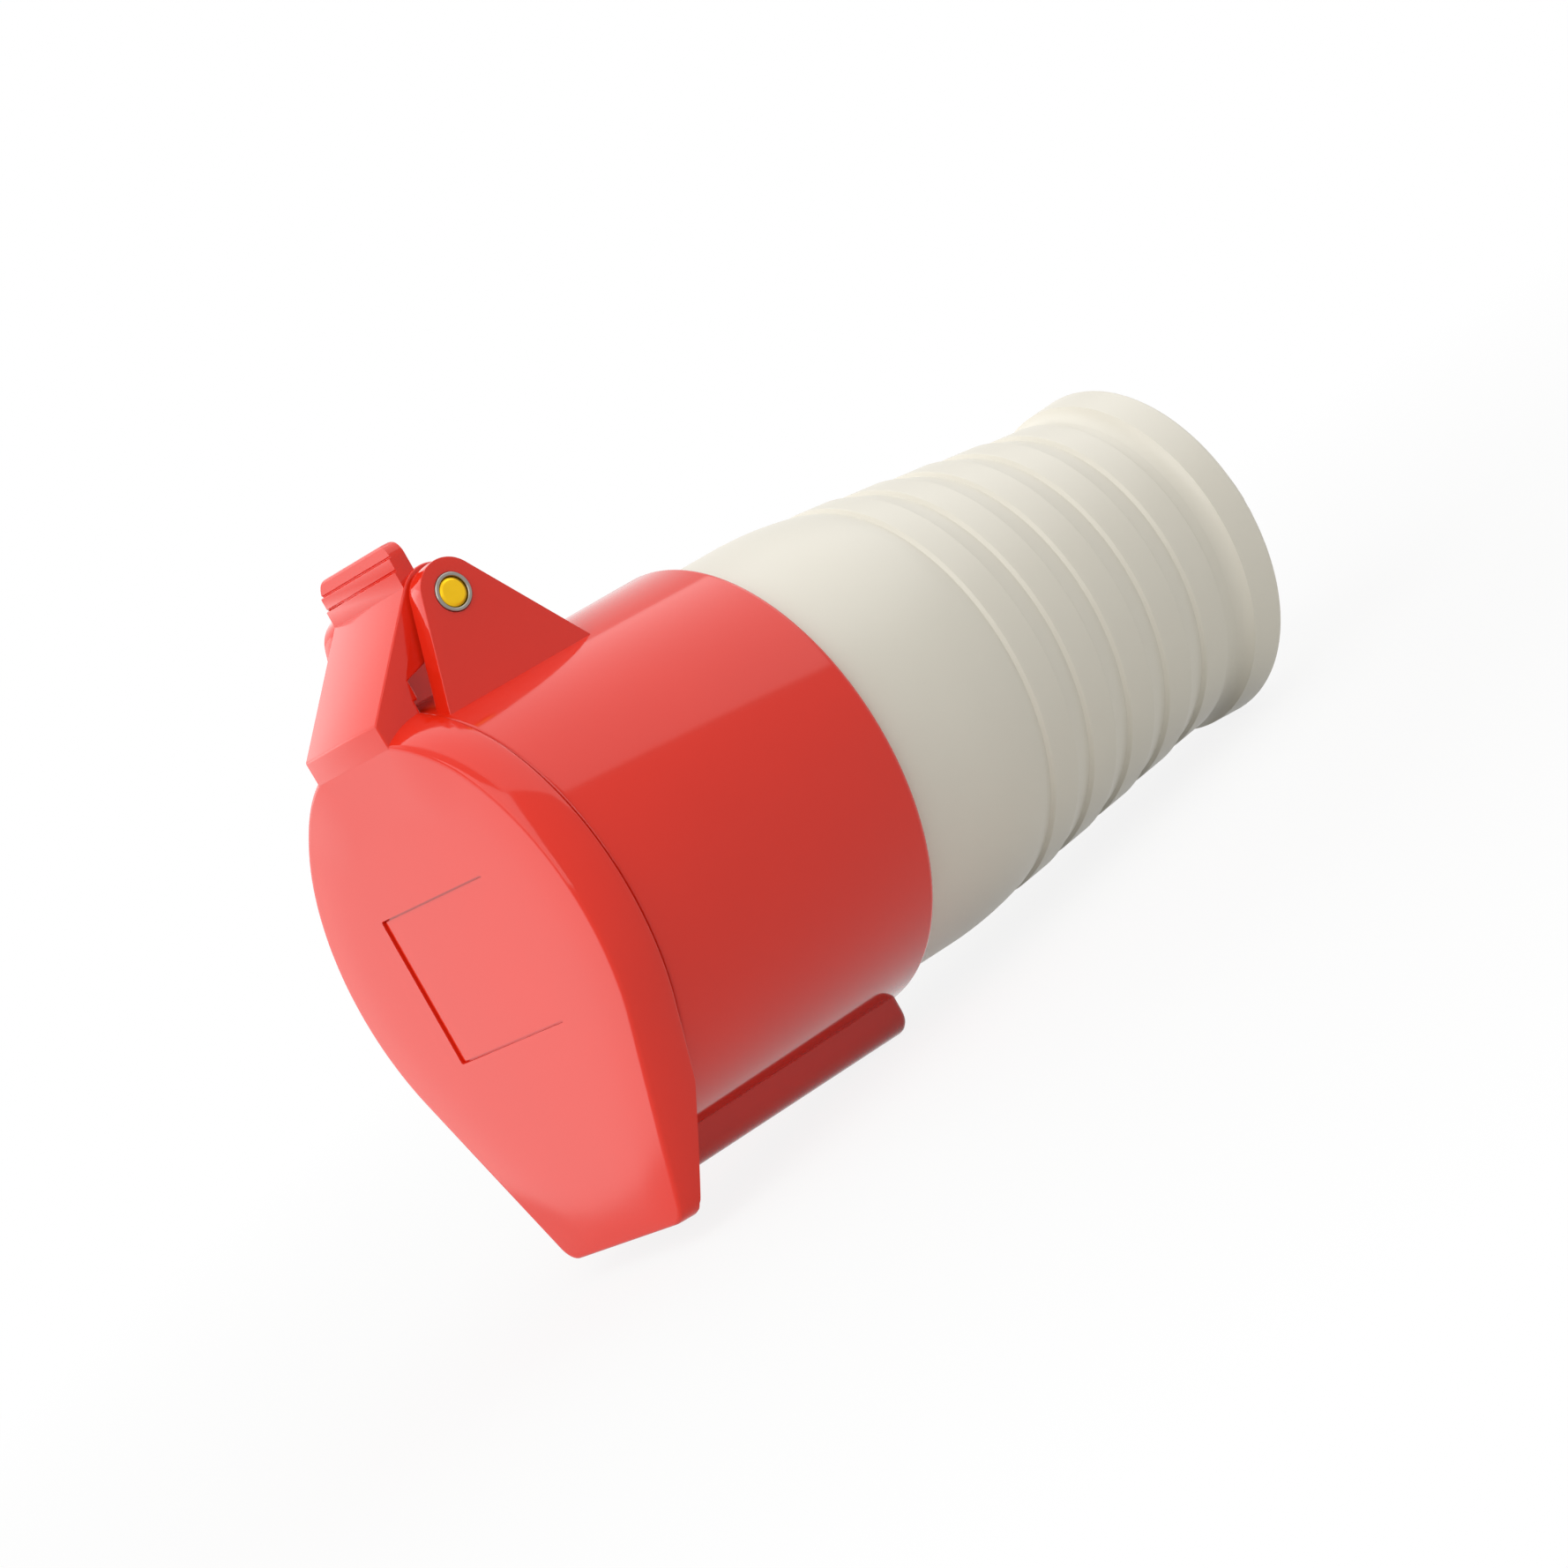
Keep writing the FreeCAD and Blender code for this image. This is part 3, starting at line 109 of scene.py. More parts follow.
class CouplerSizes(bpy.types.PropertyGroup):
    """Sizes of the coupler's shells."""

    collar_radius: length("Collar radius", "Outer radius of the red shroud", 37.0)
    collar_length: length("Collar length", "From the lid seam to the handle", 51.1)
    collar_bore: length("Collar bore", "Inner radius of the shroud's mouth", 33.8)
    ledge_bore: length("Ledge bore", "Inner radius of the ledge that stops the contact insert", 31.5)
    ledge_start: length("Ledge start", "Where the ledge begins", 33.0)
    ledge_end: length("Ledge end", "Where the ledge ends", 36.0)
    socket_start: length("Handle socket start", "Where the socket for the handle begins", 40.3)
    socket_bore: length("Handle socket bore", "Inner radius of the socket for the handle", 34.95)
    key_half_width: length("Key channel half width", "Half the width of the channel under the collar", 8.1)
    key_reach: length("Key channel reach", "From the axis to the underside of the channel", 41.6)
    key_length: length("Key channel length", "How far the channel runs from the seam", 49.3)
    key_wall: length("Key channel wall", "Wall of the channel", 2.6)
    key_depth: length("Keyway depth", "How far the keyway runs in from the seam", 34.5)
    ear_outer: length("Ear outer face", "From the middle to the outer face of an ear", 15.9)
    ear_thickness: length("Ear thickness", "Thickness of each hinge ear", 3.7)
    ear_radius: length("Ear radius", "Radius of the ear's round top", 5.3)
    ear_front: length("Ear front foot", "Where the ear's front edge meets the collar", 0.6)
    ear_back: length("Ear rear foot", "Where the ear's rear edge meets the collar", 29.9)
    ear_foot: length("Ear foot height", "Height at which the ear runs into the collar's wall", 31.6)
    pin_radius: length("Pin radius", "Radius of the hinge pin", 2.25)
    bush_radius: length("Bush radius", "Outer radius of the steel eyelet in each ear", 3.0)
    lid_radius: length("Lid radius", "Outer radius of the lid at the seam", 37.69)
    lid_face_radius: length("Lid face radius", "Radius of the lid at the edge of its face", 35.7)
    lid_panel_radius: length("Lid panel radius", "Radius of the flat part of the lid's face", 24.5)
    lid_rim_depth: length("Lid rim depth", "From the seam to the edge of the face", 7.5)
    lid_crown: length("Lid crown", "How far the flat panel stands out from the face's edge", 0.12)
    lid_wall: length("Lid wall", "Wall of the lid", 2.6)
    lid_edge_round: length("Lid edge round", "Rounding of the edge between the face and the rim", 0.6)
    lid_floor: length("Lid floor", "From the seam to the inner side of the lid's face", 5.8)
    seam_round: length("Seam rounding", "Rounding of the lid's outer edge at the seam", 0.4)
    seam_gap: length("Seam gap", "Gap between the lid and the collar", 0.3)
    tail_reach: length("Tail reach", "From the axis to the bottom of the lid's tail", 45.9)
    tail_round: length("Tail corner", "Radius of the tail's lower corners", 4.0)
    tail_panel_margin: length("Tail panel margin", "From the panel's lower edge to the tail's bottom", 2.2)
    tail_trim_start: length("Tail trim start", "Where the tail's rear edge starts to slope forward", 26.0)
    tail_trim_depth: length("Tail trim depth", "How far forward the rear edge slopes at the bottom", 4.8)
    label_width: length("Label width", "Width of the bare label recess", 31.7)
    label_height: length("Label height", "Height of the bare label recess", 24.1)
    label_depth: length("Label depth", "Depth of the bare label recess", 0.4)
    label_border: length("Label border", "Width of the fine groove round the label field", 0.3)
    block_half_width: length("Hinge block half width", "Half the width of the lid's hinge block", 11.6)
    block_cheek: length("Hinge block cheek", "Thickness of each side wall of the hinge block", 2.2)
    block_skin: length("Hinge block skin", "Thickness of the sloped wall of the hinge block", 1.9)
    block_front: length("Hinge block front", "From the seam to the fold of the hinge block", 8.0)
    block_lift: length("Hinge block lift", "How far the face comes forward beside the hinge block", 0.4)
    block_fold: length("Hinge block fold", "Height at which the front turns into the slope", 37.3)
    block_notch: length("Hinge block notch", "Height of the underside of the cheeks behind the seam", 40.6)
    knuckle_radius: length("Knuckle radius", "Radius of the lid's knuckle about the pin", 5.8)
    tab_half_width: length("Tab half width", "Half the width of the thumb tab", 11.3)
    tab_front: length("Tab front", "Place of the tab's front face", 7.6)
    tab_top: length("Tab top", "Height of the tab's top edge", 59.4)
    tab_thickness: length("Tab thickness", "Thickness of the thumb tab", 2.6)
    rib_step: length("Rib step", "Height of each step on the thumb tab", 0.3)
    rib_groove: length("Rib groove", "Depth of the groove at the foot of each step", 0.22)
    rib_pitch: length("Rib pitch", "Distance between the steps on the thumb tab", 2.1)
    handle_radius: length("Handle radius", "Radius of the handle where it leaves the collar", 34.8)
    handle_wall: length("Handle wall", "Wall of the handle", 3.0)
    ring_start: length("First ring", "Where the first grip ring begins", 80.1)
    ring_pitch: length("Ring pitch", "Distance between grip rings", 9.9)
    first_ring_radius: length("First ring radius", "Radius of the first grip ring", 33.25)
    ring_fall: length("Ring fall", "How much smaller each ring is than the one before", 1.36)
    ring_step: length("Ring step", "Height of the step at the front of each ring", 0.55)
    waist_start: length("Waist", "Where the hollow before the rear rim begins", 127.5)
    waist_radius: length("Waist radius", "Radius of the hollow before the rear rim", 26.5)
    rim_start: length("Rim start", "Where the rear rim begins", 131.0)
    cove_run: length("Cove run", "Length of the cove that leads up to the rear rim", 2.9)
    rim_flare: length("Rim flare", "How much the rim widens from the cove to its end", 0.35)
    rim_radius: length("Rim radius", "Radius of the rear rim", 28.4)
    handle_end: length("Handle end", "Where the handle ends", 137.0)
    gland_start: length("Gland start", "Where the gland's tube begins inside the handle", 112.0)
    gland_radius: length("Gland radius", "Radius of the nut's threaded spigot", 17.0)
    nut_start: length("Nut start", "Where the nut's spigot begins", 129.1)
    nut_radius: length("Nut radius", "Outer radius of the gland nut's knob", 20.4)
    nut_length: length("Nut length", "Length of the gland nut's knob", 6.4)
    cable_radius: length("Cable bore", "Radius of the nut's bore", 9.0)
    flute_radius: length("Flute radius", "Radius of each grip flute", 1.6)
    ring_count: whole_number("Grip rings", "Number of rings on the handle", 5)
    flutes: whole_number("Nut flutes", "Number of grip flutes on the nut", 12)
    tail_angle: bpy.props.FloatProperty(
        name="Tail angle", description="Slope of the tail's sides from upright",
        default=math.radians(26.8), subtype="ANGLE")
    round_steps: whole_number("Round steps", "Steps in one full turn", 192)


class CouplerColours(bpy.types.PropertyGroup):
    """Colours of the coupler's materials."""

    red: colour("Signal red", "Moulded polyamide of the collar and lid", "#E22A14")
    grey: colour("Warm grey", "Moulded polyamide of the handle and nut", "#DDD8CA")
    brass: colour("Yellow brass", "Hinge pin and contacts", "#E8B923")
    steel: colour("Steel", "Eyelets, spring and screws", "#8F8B84")
    insulator: colour("Insulator", "Contact insert", "#2A2B2D")
    rubber: colour("Rubber", "Seals and gasket", "#1C1C1D")
    floor: colour("Pale paper", "Studio floor", "#D4D4D2")


def sizes():
    return bpy.context.scene.coupler_sizes


def colours():
    return bpy.context.scene.coupler_colours


# Mesh tools


def editing(piece):
    """The piece's mesh as it stands in edit mode."""
    return bmesh.from_edit_mesh(piece.data)


def pick(piece, mode, test):
    """In edit mode, select the vertices, edges or faces that pass a test."""
    bpy.ops.mesh.select_all(action="DESELECT")
    bpy.context.tool_settings.mesh_select_mode = (mode == "VERT", mode == "EDGE", mode == "FACE")
    mesh = editing(piece)
    parts = {"VERT": mesh.verts, "EDGE": mesh.edges, "FACE": mesh.faces}[mode]
    found = [part for part in parts if test(part)]
    for part in found:
        part.select_set(True)
    mesh.select_flush(True)
    bmesh.update_edit_mesh(piece.data)
    if not found:
        raise RuntimeError(f"nothing to select on {piece.name}")


def begin(name):
    """A new piece that is a single vertex at the origin, open in edit mode."""
    bpy.ops.object.select_all(action="DESELECT")
    bpy.ops.mesh.primitive_plane_add(size=MM)
    piece = bpy.context.object
    piece.name = name
    bpy.ops.object.mode_set(mode="EDIT")
    bpy.context.tool_settings.mesh_select_mode = (True, False, False)
    bpy.ops.mesh.select_all(action="SELECT")
    bpy.ops.mesh.merge(type="CENTER")
    return piece


def draw(piece, points):
    """Carry the selected vertex along a row of points by extruding, and close the loop."""
    bpy.ops.transform.translate(value=points[0])
    for here, there in zip(points, points[1:]):
        bpy.ops.mesh.extrude_vertices_move(TRANSFORM_OT_translate={"value": there - here})
    ends = (points[0], points[-1])
    pick(piece, "VERT", lambda v: any((v.co - end).length < 1e-7 for end in ends))
    bpy.ops.mesh.edge_face_add()


def done(piece):
    """Close edit mode with the normals outward, and smooth what is meant to be round."""
    if bpy.context.mode != "EDIT_MESH":
        bpy.ops.object.mode_set(mode="EDIT")
    bpy.ops.mesh.select_all(action="SELECT")
    bpy.ops.mesh.remove_doubles(threshold=1e-6)
    bpy.ops.mesh.normals_make_consistent(inside=False)
    bpy.ops.object.mode_set(mode="OBJECT")
    select_only(piece)
    bpy.ops.object.shade_smooth_by_angle(angle=SMOOTH_ANGLE)
    return piece


def select_only(piece):
    bpy.ops.object.select_all(action="DESELECT")
    piece.select_set(True)
    bpy.context.view_layer.objects.active = piece


def rounded(corners, steps=6):
    """An outline's points; a corner given as (along, up, radius) becomes an arc."""
    points = []
    count = len(corners)
    for index, corner in enumerate(corners):
        here = Vector(corner[:2])
        if len(corner) == 2:
            points.append(here)
            continue
        before = (Vector(corners[index - 1][:2]) - here).normalized()
        after = (Vector(corners[(index + 1) % count][:2]) - here).normalized()
        half = before.angle(after) / 2
        reach = corner[2] / math.tan(half)
        hub = here + (before + after).normalized() * (corner[2] / math.sin(half))
        start = here + before * reach - hub
        sweep = (here + after * reach - hub).angle_signed(start)
        for step in range(steps + 1):
            points.append(hub + turned(start, sweep * step / steps))
    return points


def turned(vector, angle):
    """A 2D vector turned anticlockwise."""
    return Vector((vector.x * math.cos(angle) - vector.y * math.sin(angle),
                   vector.x * math.sin(angle) + vector.y * math.cos(angle)))


def spun(name, points, steps, centre, axis):
    """A closed outline, spun a full turn about an axis."""
    piece = begin(name)
    draw(piece, points)
    bpy.ops.mesh.select_all(action="SELECT")
    bpy.ops.mesh.spin(steps=steps, angle=2 * math.pi, center=centre, axis=axis)
    return done(piece)


def lathe(name, corners):
    """A ring-shaped piece, spun about the coupler's axis from an outline of (along, radius) corners."""
    points = [Vector((0, point.x, point.y)) for point in rounded(corners)]
    return spun(name, points, sizes().round_steps, (0, 0, 0), (0, 1, 0))


def lathe_on_pin(name, corners):
    """A ring-shaped piece spun about the hinge pin, from (across, radius) corners."""
    points = [Vector((point.x, HINGE_SETBACK, HINGE_HEIGHT + point.y)) for point in rounded(corners)]
    return spun(name, points, PIN_STEPS, (0, HINGE_SETBACK, HINGE_HEIGHT), (1, 0, 0))


def slab(name, points, low, high, bevel=0.0, segments=3):
    """A plate drawn from the side as (along, up) points, run across from low to high."""
    piece = begin(name)
    draw(piece, [Vector((low, point[0], point[1])) for point in points])
    bpy.ops.mesh.select_all(action="SELECT")
    bpy.ops.mesh.edge_face_add()
    bpy.ops.mesh.extrude_region_move(TRANSFORM_OT_translate={"value": (high - low, 0, 0)})
    if bevel:
        def on_rim(edge):
            across = {round(v.co.x / MM, 3) for v in edge.verts}
            return len(across) == 1
        pick(piece, "EDGE", on_rim)
        bpy.ops.mesh.bevel(offset=bevel, segments=segments, affect="EDGES", clamp_overlap=True)
    return done(piece)


def bar(name, points, low, high, bevel=0.0, segments=3):
    """A bar drawn from the front as (across, up) points, run along the axis from low to high."""
    piece = begin(name)
    draw(piece, [Vector((point[0], low, point[1])) for point in points])
    bpy.ops.mesh.select_all(action="SELECT")
    bpy.ops.mesh.edge_face_add()
    bpy.ops.mesh.extrude_region_move(TRANSFORM_OT_translate={"value": (0, high - low, 0)})
    if bevel:
        pick(piece, "EDGE", lambda edge: all(abs(v.co.y - high) < 1e-6 for v in edge.verts))
        bpy.ops.mesh.bevel(offset=bevel, segments=segments, affect="EDGES", clamp_overlap=True)
    return done(piece)


def combine(piece, tool, operation):
    """Join a second piece to the first or cut it away, and drop the second."""
    select_only(piece)
    modifier = piece.modifiers.new("combine", "BOOLEAN")
    modifier.operation = operation
    modifier.solver = "EXACT"
    modifier.object = tool
    bpy.ops.object.modifier_apply(modifier=modifier.name)
    bpy.data.objects.remove(tool)
    return piece


def lay_in_place(piece, body, nodes, slot):
    material = material_for(slot)
    select_only(piece)
    piece.matrix_world = COUPLER
    bpy.ops.object.transform_apply(location=True, rotation=True, scale=True)
    select_only(piece)
    bpy.ops.object.shade_smooth_by_angle(angle=SMOOTH_ANGLE)
    piece.data.materials.clear()
    piece.data.materials.append(material)
    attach(piece, body)
    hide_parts(*nodes)


def cutter(name, radius, depth, place, turn, steps):
    """A plain cylinder that cuts a round hole or groove and is then dropped."""
    bpy.ops.object.select_all(action="DESELECT")
    bpy.ops.mesh.primitive_cylinder_add(vertices=steps, radius=radius, depth=depth,
                                        location=place, rotation=turn)
    piece = bpy.context.object
    piece.name = name
    bpy.ops.object.transform_apply(location=True, rotation=True, scale=True)
    return piece


def crosswise(name, radius, half):
    """A round cutter along the hinge pin."""
    place = (0, HINGE_SETBACK, HINGE_HEIGHT)
    return cutter(name, radius, 2 * half, place, (0, math.pi / 2, 0), PIN_STEPS)


# Materials


def add_node(tree, kind, settings=None, links=None):
    """Add a node, set its properties and inputs, and link sockets to its inputs by name or number."""
    node = tree.nodes.new(kind)
    for key, value in (settings or {}).items():
        if key in node.inputs:
            node.inputs[key].default_value = value
        else:
            setattr(node, key, value)
    for key, source in (links or {}).items():
        tree.links.new(source, node.inputs[key])
    return node


def new_material(name):
    """An empty material with its output and shader, ready for nodes."""
    material = bpy.data.materials.new(name)
    material.use_nodes = True
    tree = material.node_tree
    tree.nodes.clear()
    shader = add_node(tree, "ShaderNodeBsdfPrincipled")
    add_node(tree, "ShaderNodeOutputMaterial", links={"Surface": shader.outputs["BSDF"]})
    return material, tree, shader


def grain(tree, shader, scale_mm, depth_mm, strength, detail=3.0):
    """A fine grain in the surface, with features scale_mm apart; gives back its coordinates."""
    place = add_node(tree, "ShaderNodeTexCoord")
    settings = {"Scale": 1 / (scale_mm * MM), "Detail": detail, "Roughness": 0.55}
    noise = add_node(tree, "ShaderNodeTexNoise", settings, {"Vector": place.outputs["Object"]})
    bump = add_node(tree, "ShaderNodeBump", {"Strength": strength, "Distance": depth_mm * MM},
                    {"Height": noise.outputs["Fac"]})
    tree.links.new(bump.outputs["Normal"], shader.inputs["Normal"])
    return place


def shade_between(tree, shader, place, scale_mm, dark, light):
    """Colour that drifts a little between two tones, as pigment does in a moulding."""
    drift = add_node(tree, "ShaderNodeTexNoise", {"Scale": 1 / (scale_mm * MM), "Detail": 2.0},
                     {"Vector": place.outputs["Object"]})
    mix = add_node(tree, "ShaderNodeMix", {"data_type": "RGBA"})
    amount = next(socket for socket in mix.inputs if socket.name == "Factor" and socket.type == "VALUE")
    tree.links.new(drift.outputs["Fac"], amount)
    tones = {socket.name: socket for socket in mix.inputs if socket.type == "RGBA"}
    tones["A"].default_value = (*dark, 1)
    tones["B"].default_value = (*light, 1)
    result = next(socket for socket in mix.outputs if socket.type == "RGBA")
    tree.links.new(result, shader.inputs["Base Color"])


def toned(value, factor):
    return tuple(min(1.0, part * factor) for part in value)


def glossy_red_polyamide():
    """Injection-moulded polyamide, polished tool: a bright gloss with a faint flow in the surface."""
    material, tree, shader = new_material("glossy red polyamide")
    red = tuple(colours().red)
    place = grain(tree, shader, 6.0, 0.02, 0.05, detail=2.0)
    shade_between(tree, shader, place, 30.0, toned(red, 0.96), toned(red, 1.04))
    shader.inputs["Roughness"].default_value = 0.10
    shader.inputs["IOR"].default_value = 1.50
    shader.inputs["Specular IOR Level"].default_value = 0.36
    return material


def warm_grey_polyamide():
    """Injection-moulded polyamide, fine-eroded tool: a soft sheen with a very fine grain."""
    material, tree, shader = new_material("warm grey polyamide")
    grey = tuple(colours().grey)
    place = grain(tree, shader, 0.5, 0.01, 0.15)
    shade_between(tree, shader, place, 25.0, toned(grey, 0.97), toned(grey, 1.02))
    shader.inputs["Roughness"].default_value = 0.38
    shader.inputs["IOR"].default_value = 1.53
    return material


def turned_brass():
    """Turned brass: warm metal with a fine grain."""
    material, tree, shader = new_material("turned brass")
    brass = tuple(colours().brass)
    place = grain(tree, shader, 0.35, 0.01, 0.2)
    shade_between(tree, shader, place, 3.0, toned(brass, 0.9), toned(brass, 1.05))
    shader.inputs["Metallic"].default_value = 1.0
    shader.inputs["Roughness"].default_value = 0.32
    return material


def zinc_plated_steel():
    """Zinc-plated steel: a dull bright metal with a fine crystalline grain."""
    material, tree, shader = new_material("zinc-plated steel")
    steel = tuple(colours().steel)
    place = grain(tree, shader, 0.3, 0.01, 0.2)
    shade_between(tree, shader, place, 2.0, toned(steel, 0.85), toned(steel, 1.1))
    shader.inputs["Metallic"].default_value = 1.0
    shader.inputs["Roughness"].default_value = 0.28
    return material


def dark_insulator():
    """Glass-filled thermoset: dark, with a dry, slightly mottled surface."""
    material, tree, shader = new_material("dark glass-filled insulator")
    dark = tuple(colours().insulator)
    place = grain(tree, shader, 0.8, 0.02, 0.25)
    shade_between(tree, shader, place, 1.5, toned(dark, 0.8), toned(dark, 1.25))
    shader.inputs["Roughness"].default_value = 0.45
    shader.inputs["IOR"].default_value = 1.55
    return material


def black_rubber():
    """Moulded rubber: black and matt, with a powdery grain."""
    material, tree, shader = new_material("moulded black rubber")
    rubber = tuple(colours().rubber)
    place = grain(tree, shader, 0.6, 0.02, 0.3)
    shade_between(tree, shader, place, 4.0, toned(rubber, 0.85), toned(rubber, 1.2))
    shader.inputs["Roughness"].default_value = 0.7
    return material


MAKERS = {
    "red_plastic": glossy_red_polyamide,
    "grey_plastic": warm_grey_polyamide,
    "brass": turned_brass,
    "steel": zinc_plated_steel,
    "black_plastic": dark_insulator,
    "black_rubber": black_rubber,
}
MADE = {}


def material_for(slot):
    """The material of one of the record's slots, made once."""
    if slot not in MADE:
        MADE[slot] = MAKERS[slot]()
    return MADE[slot]


# Shapes


# The face blends into the hinge block between these angles from the top, in degrees.
BLOCK_BLEND = (20, 44)

# Steps along the handle's shoulder, and up the cove to its rear rim.
SHOULDER_STEPS = 8
COVE_STEPS = 12

# Steps round the lid's circle, round each corner of its tail, round its edge at the seam, along its rim,
# and round the soft turns of its face.
CIRCLE_STEPS = 120
KNEE_STEPS = 8
SEAM_STEPS = 4
RIM_STEPS = 8
TURN_STEPS = 5


def tailed_outline(along, radius, reach, corner, lift=0.0):
    """A circle with a tapering tail below it, at one place along the axis; the lift brings its top out."""
    lean = sizes().tail_angle
    out = Vector((math.cos(lean), -math.sin(lean)))
    down = Vector((-math.sin(lean), -math.cos(lean)))
    touch = out * radius
    foot = touch + down * ((reach - radius * math.sin(lean)) / math.cos(lean))
    side_half = (math.pi / 2 - lean) / 2
    trim = corner * math.tan(side_half)
    hub = foot - down * trim - out * corner
    points = []
    sweep = math.pi + 2 * lean
    for step in range(CIRCLE_STEPS + 1):
        angle = -lean + sweep * step / CIRCLE_STEPS
        points.append((radius * math.cos(angle), radius * math.sin(angle), lift * near_block(angle)))
    for start, side in ((math.pi + lean, -hub.x), (-math.pi / 2, hub.x)):
        for step in range(KNEE_STEPS + 1):
            angle = start + (math.pi / 2 - lean) * step / KNEE_STEPS
            points.append((side + corner * math.cos(angle), hub.y + corner * math.sin(angle), 0))
    return [Vector((across, along - forward, up)) for across, up, forward in points]


def near_block(angle):
    """1 where the lid's face runs into the hinge block, easing to 0 further round."""
    away = abs(math.degrees(angle) - 90)
    part = min(1.0, max(0.0, (BLOCK_BLEND[1] - away) / (BLOCK_BLEND[1] - BLOCK_BLEND[0])))
    return part * part * (3 - 2 * part)


def face_lift(along, radius):
    """How far the lid's skin comes forward beside the hinge block: most at the face's edge."""
    s = sizes()
    on_face = (radius - s.lid_panel_radius) / (s.lid_face_radius - s.lid_panel_radius)
    on_rim = -along / s.lid_rim_depth
    return s.block_lift * max(0.0, min(1.0, on_face, on_rim))


def loft(name, sections):
    """A closed shell through sections with the same number of points, capped at both ends."""
    piece = begin(name)
    draw(piece, sections[0])
    bpy.ops.mesh.select_all(action="SELECT")
    bpy.ops.mesh.edge_face_add()
    for before, after in zip(sections, sections[1:]):
        bpy.ops.mesh.extrude_region_move(TRANSFORM_OT_translate={"value": (0, 0, 0)})
        mesh = editing(piece)
        moves = list(zip(before, after))
        for vertex in [v for v in mesh.verts if v.select]:
            start, end = min(moves, key=lambda pair: (pair[0] - vertex.co).length_squared)
            vertex.co = end
        bmesh.update_edit_mesh(piece.data)
    return done(piece)


def rim_radius_at(along):
    """Outer radius of the lid's round wall, which is straight at the seam and bows in towards the face."""
    s = sizes()
    depth = s.lid_rim_depth - s.seam_gap
    fall = s.lid_radius - s.lid_face_radius
    bow = (depth ** 2 + fall ** 2) / (2 * fall)
    away = -along - s.seam_gap
    return s.lid_radius - bow + math.sqrt(bow ** 2 - away ** 2)


def inner_radius_at(along):
    """Inner radius of the lid's round wall, which narrows evenly towards the face."""
    s = sizes()
    part_way = (along + s.lid_rim_depth) / (s.lid_rim_depth - s.seam_gap)
    return s.lid_face_radius - s.lid_wall + (s.lid_radius - s.lid_face_radius) * part_way


def curve(start, corner, end, steps):
    """Points of a soft turn from start to end, drawn towards the corner."""
    points = []
    for step in range(steps + 1):
        t = step / steps
        points.append(start * (1 - t) ** 2 + corner * (2 * t * (1 - t)) + end * t ** 2)
    return points


def lid_skin():
    """The lid's skin from the seam to the panel, as points of (along, radius, reach of the tail)."""
    s = sizes()
    turn = s.seam_round
    points = []
    for step in range(SEAM_STEPS + 1):
        angle = math.pi / 2 * step / SEAM_STEPS
        drop = turn * (1 - math.sin(angle))
        along = -s.seam_gap - turn * (1 - math.cos(angle))
        points.append(Vector((along, s.lid_radius - drop, s.tail_reach - drop)))
    first, last = -s.seam_gap - turn, -s.lid_rim_depth + s.lid_edge_round
    for step in range(1, RIM_STEPS + 1):
        along = first + (last - first) * step / RIM_STEPS
        points.append(Vector((along, rim_radius_at(along), s.tail_reach)))
    edge = Vector((-s.lid_rim_depth, s.lid_face_radius, s.tail_reach))
    face = edge - Vector((0, s.lid_edge_round, s.lid_edge_round))
    points += curve(points.pop(), edge, face, TURN_STEPS)
    panel = Vector((-s.lid_rim_depth - s.lid_crown, s.lid_panel_radius, s.tail_reach - s.tail_panel_margin))
    soft = 3.0 * MM
    before = panel - (panel - face).normalized() * soft
    return points + curve(before, panel, panel - Vector((0, soft, soft)), TURN_STEPS)


def make_lid_body():
    s = sizes()
    sections = [tailed_outline(along, inner_radius_at(along), s.tail_reach - s.lid_wall, s.tail_round / 2)
                for along in (-s.lid_floor, -s.seam_gap)]
    sections += [tailed_outline(*point, s.tail_round, face_lift(*point[:2])) for point in lid_skin()]
    piece = loft("lid_shell", sections)
    bpy.ops.object.mode_set(mode="EDIT")
    bpy.ops.mesh.select_all(action="SELECT")
    slope = s.tail_trim_depth / (s.tail_reach - s.tail_trim_start)
    bpy.ops.mesh.bisect(plane_co=(0, 0, -s.tail_trim_start), plane_no=(0, 1, -slope),
                        use_fill=True, clear_outer=True)
    return done(piece)


def slope_angle():
    """Steepness of the hinge block's front slope, which touches the knuckle circle."""
    s = sizes()
    away = Vector((HINGE_SETBACK + s.block_front, HINGE_HEIGHT - s.block_fold))
    return math.atan2(away.y, away.x) + math.asin(s.knuckle_radius / away.length)


def about_pin(radius, angle):
    return HINGE_SETBACK + radius * math.cos(angle), HINGE_HEIGHT + radius * math.sin(angle)


def arc(radius, start, end, steps):
    """Points round the pin from one angle to another, as (along, up)."""
    return [about_pin(radius, start + (end - start) * step / steps) for step in range(steps + 1)]


def make_block():
    """The hinge block: its root is tucked behind the face's skin, and a small step clears the collar."""
    s = sizes()
    front = -s.block_front
    lean = slope_angle()
    root = 20 * MM
    tuck = 0.9 * MM
    step = 0.5 * MM
    clear = s.collar_radius + 2 * s.seam_gap
    edge = -s.lid_rim_depth - s.block_lift
    foot = math.sqrt(s.lid_face_radius ** 2 - s.block_half_width ** 2)
    outline = [(edge + tuck, root), (edge, foot), (front, s.block_fold)]
    outline += arc(s.knuckle_radius, lean + math.pi / 2, math.radians(-110), 36)
    outline += [(step, s.block_notch), (step, clear), (-s.seam_gap, clear), (-s.seam_gap, root)]
    half = s.block_half_width
    return slab("lid_block", outline, -half, half, bevel=1.2 * MM, segments=5)


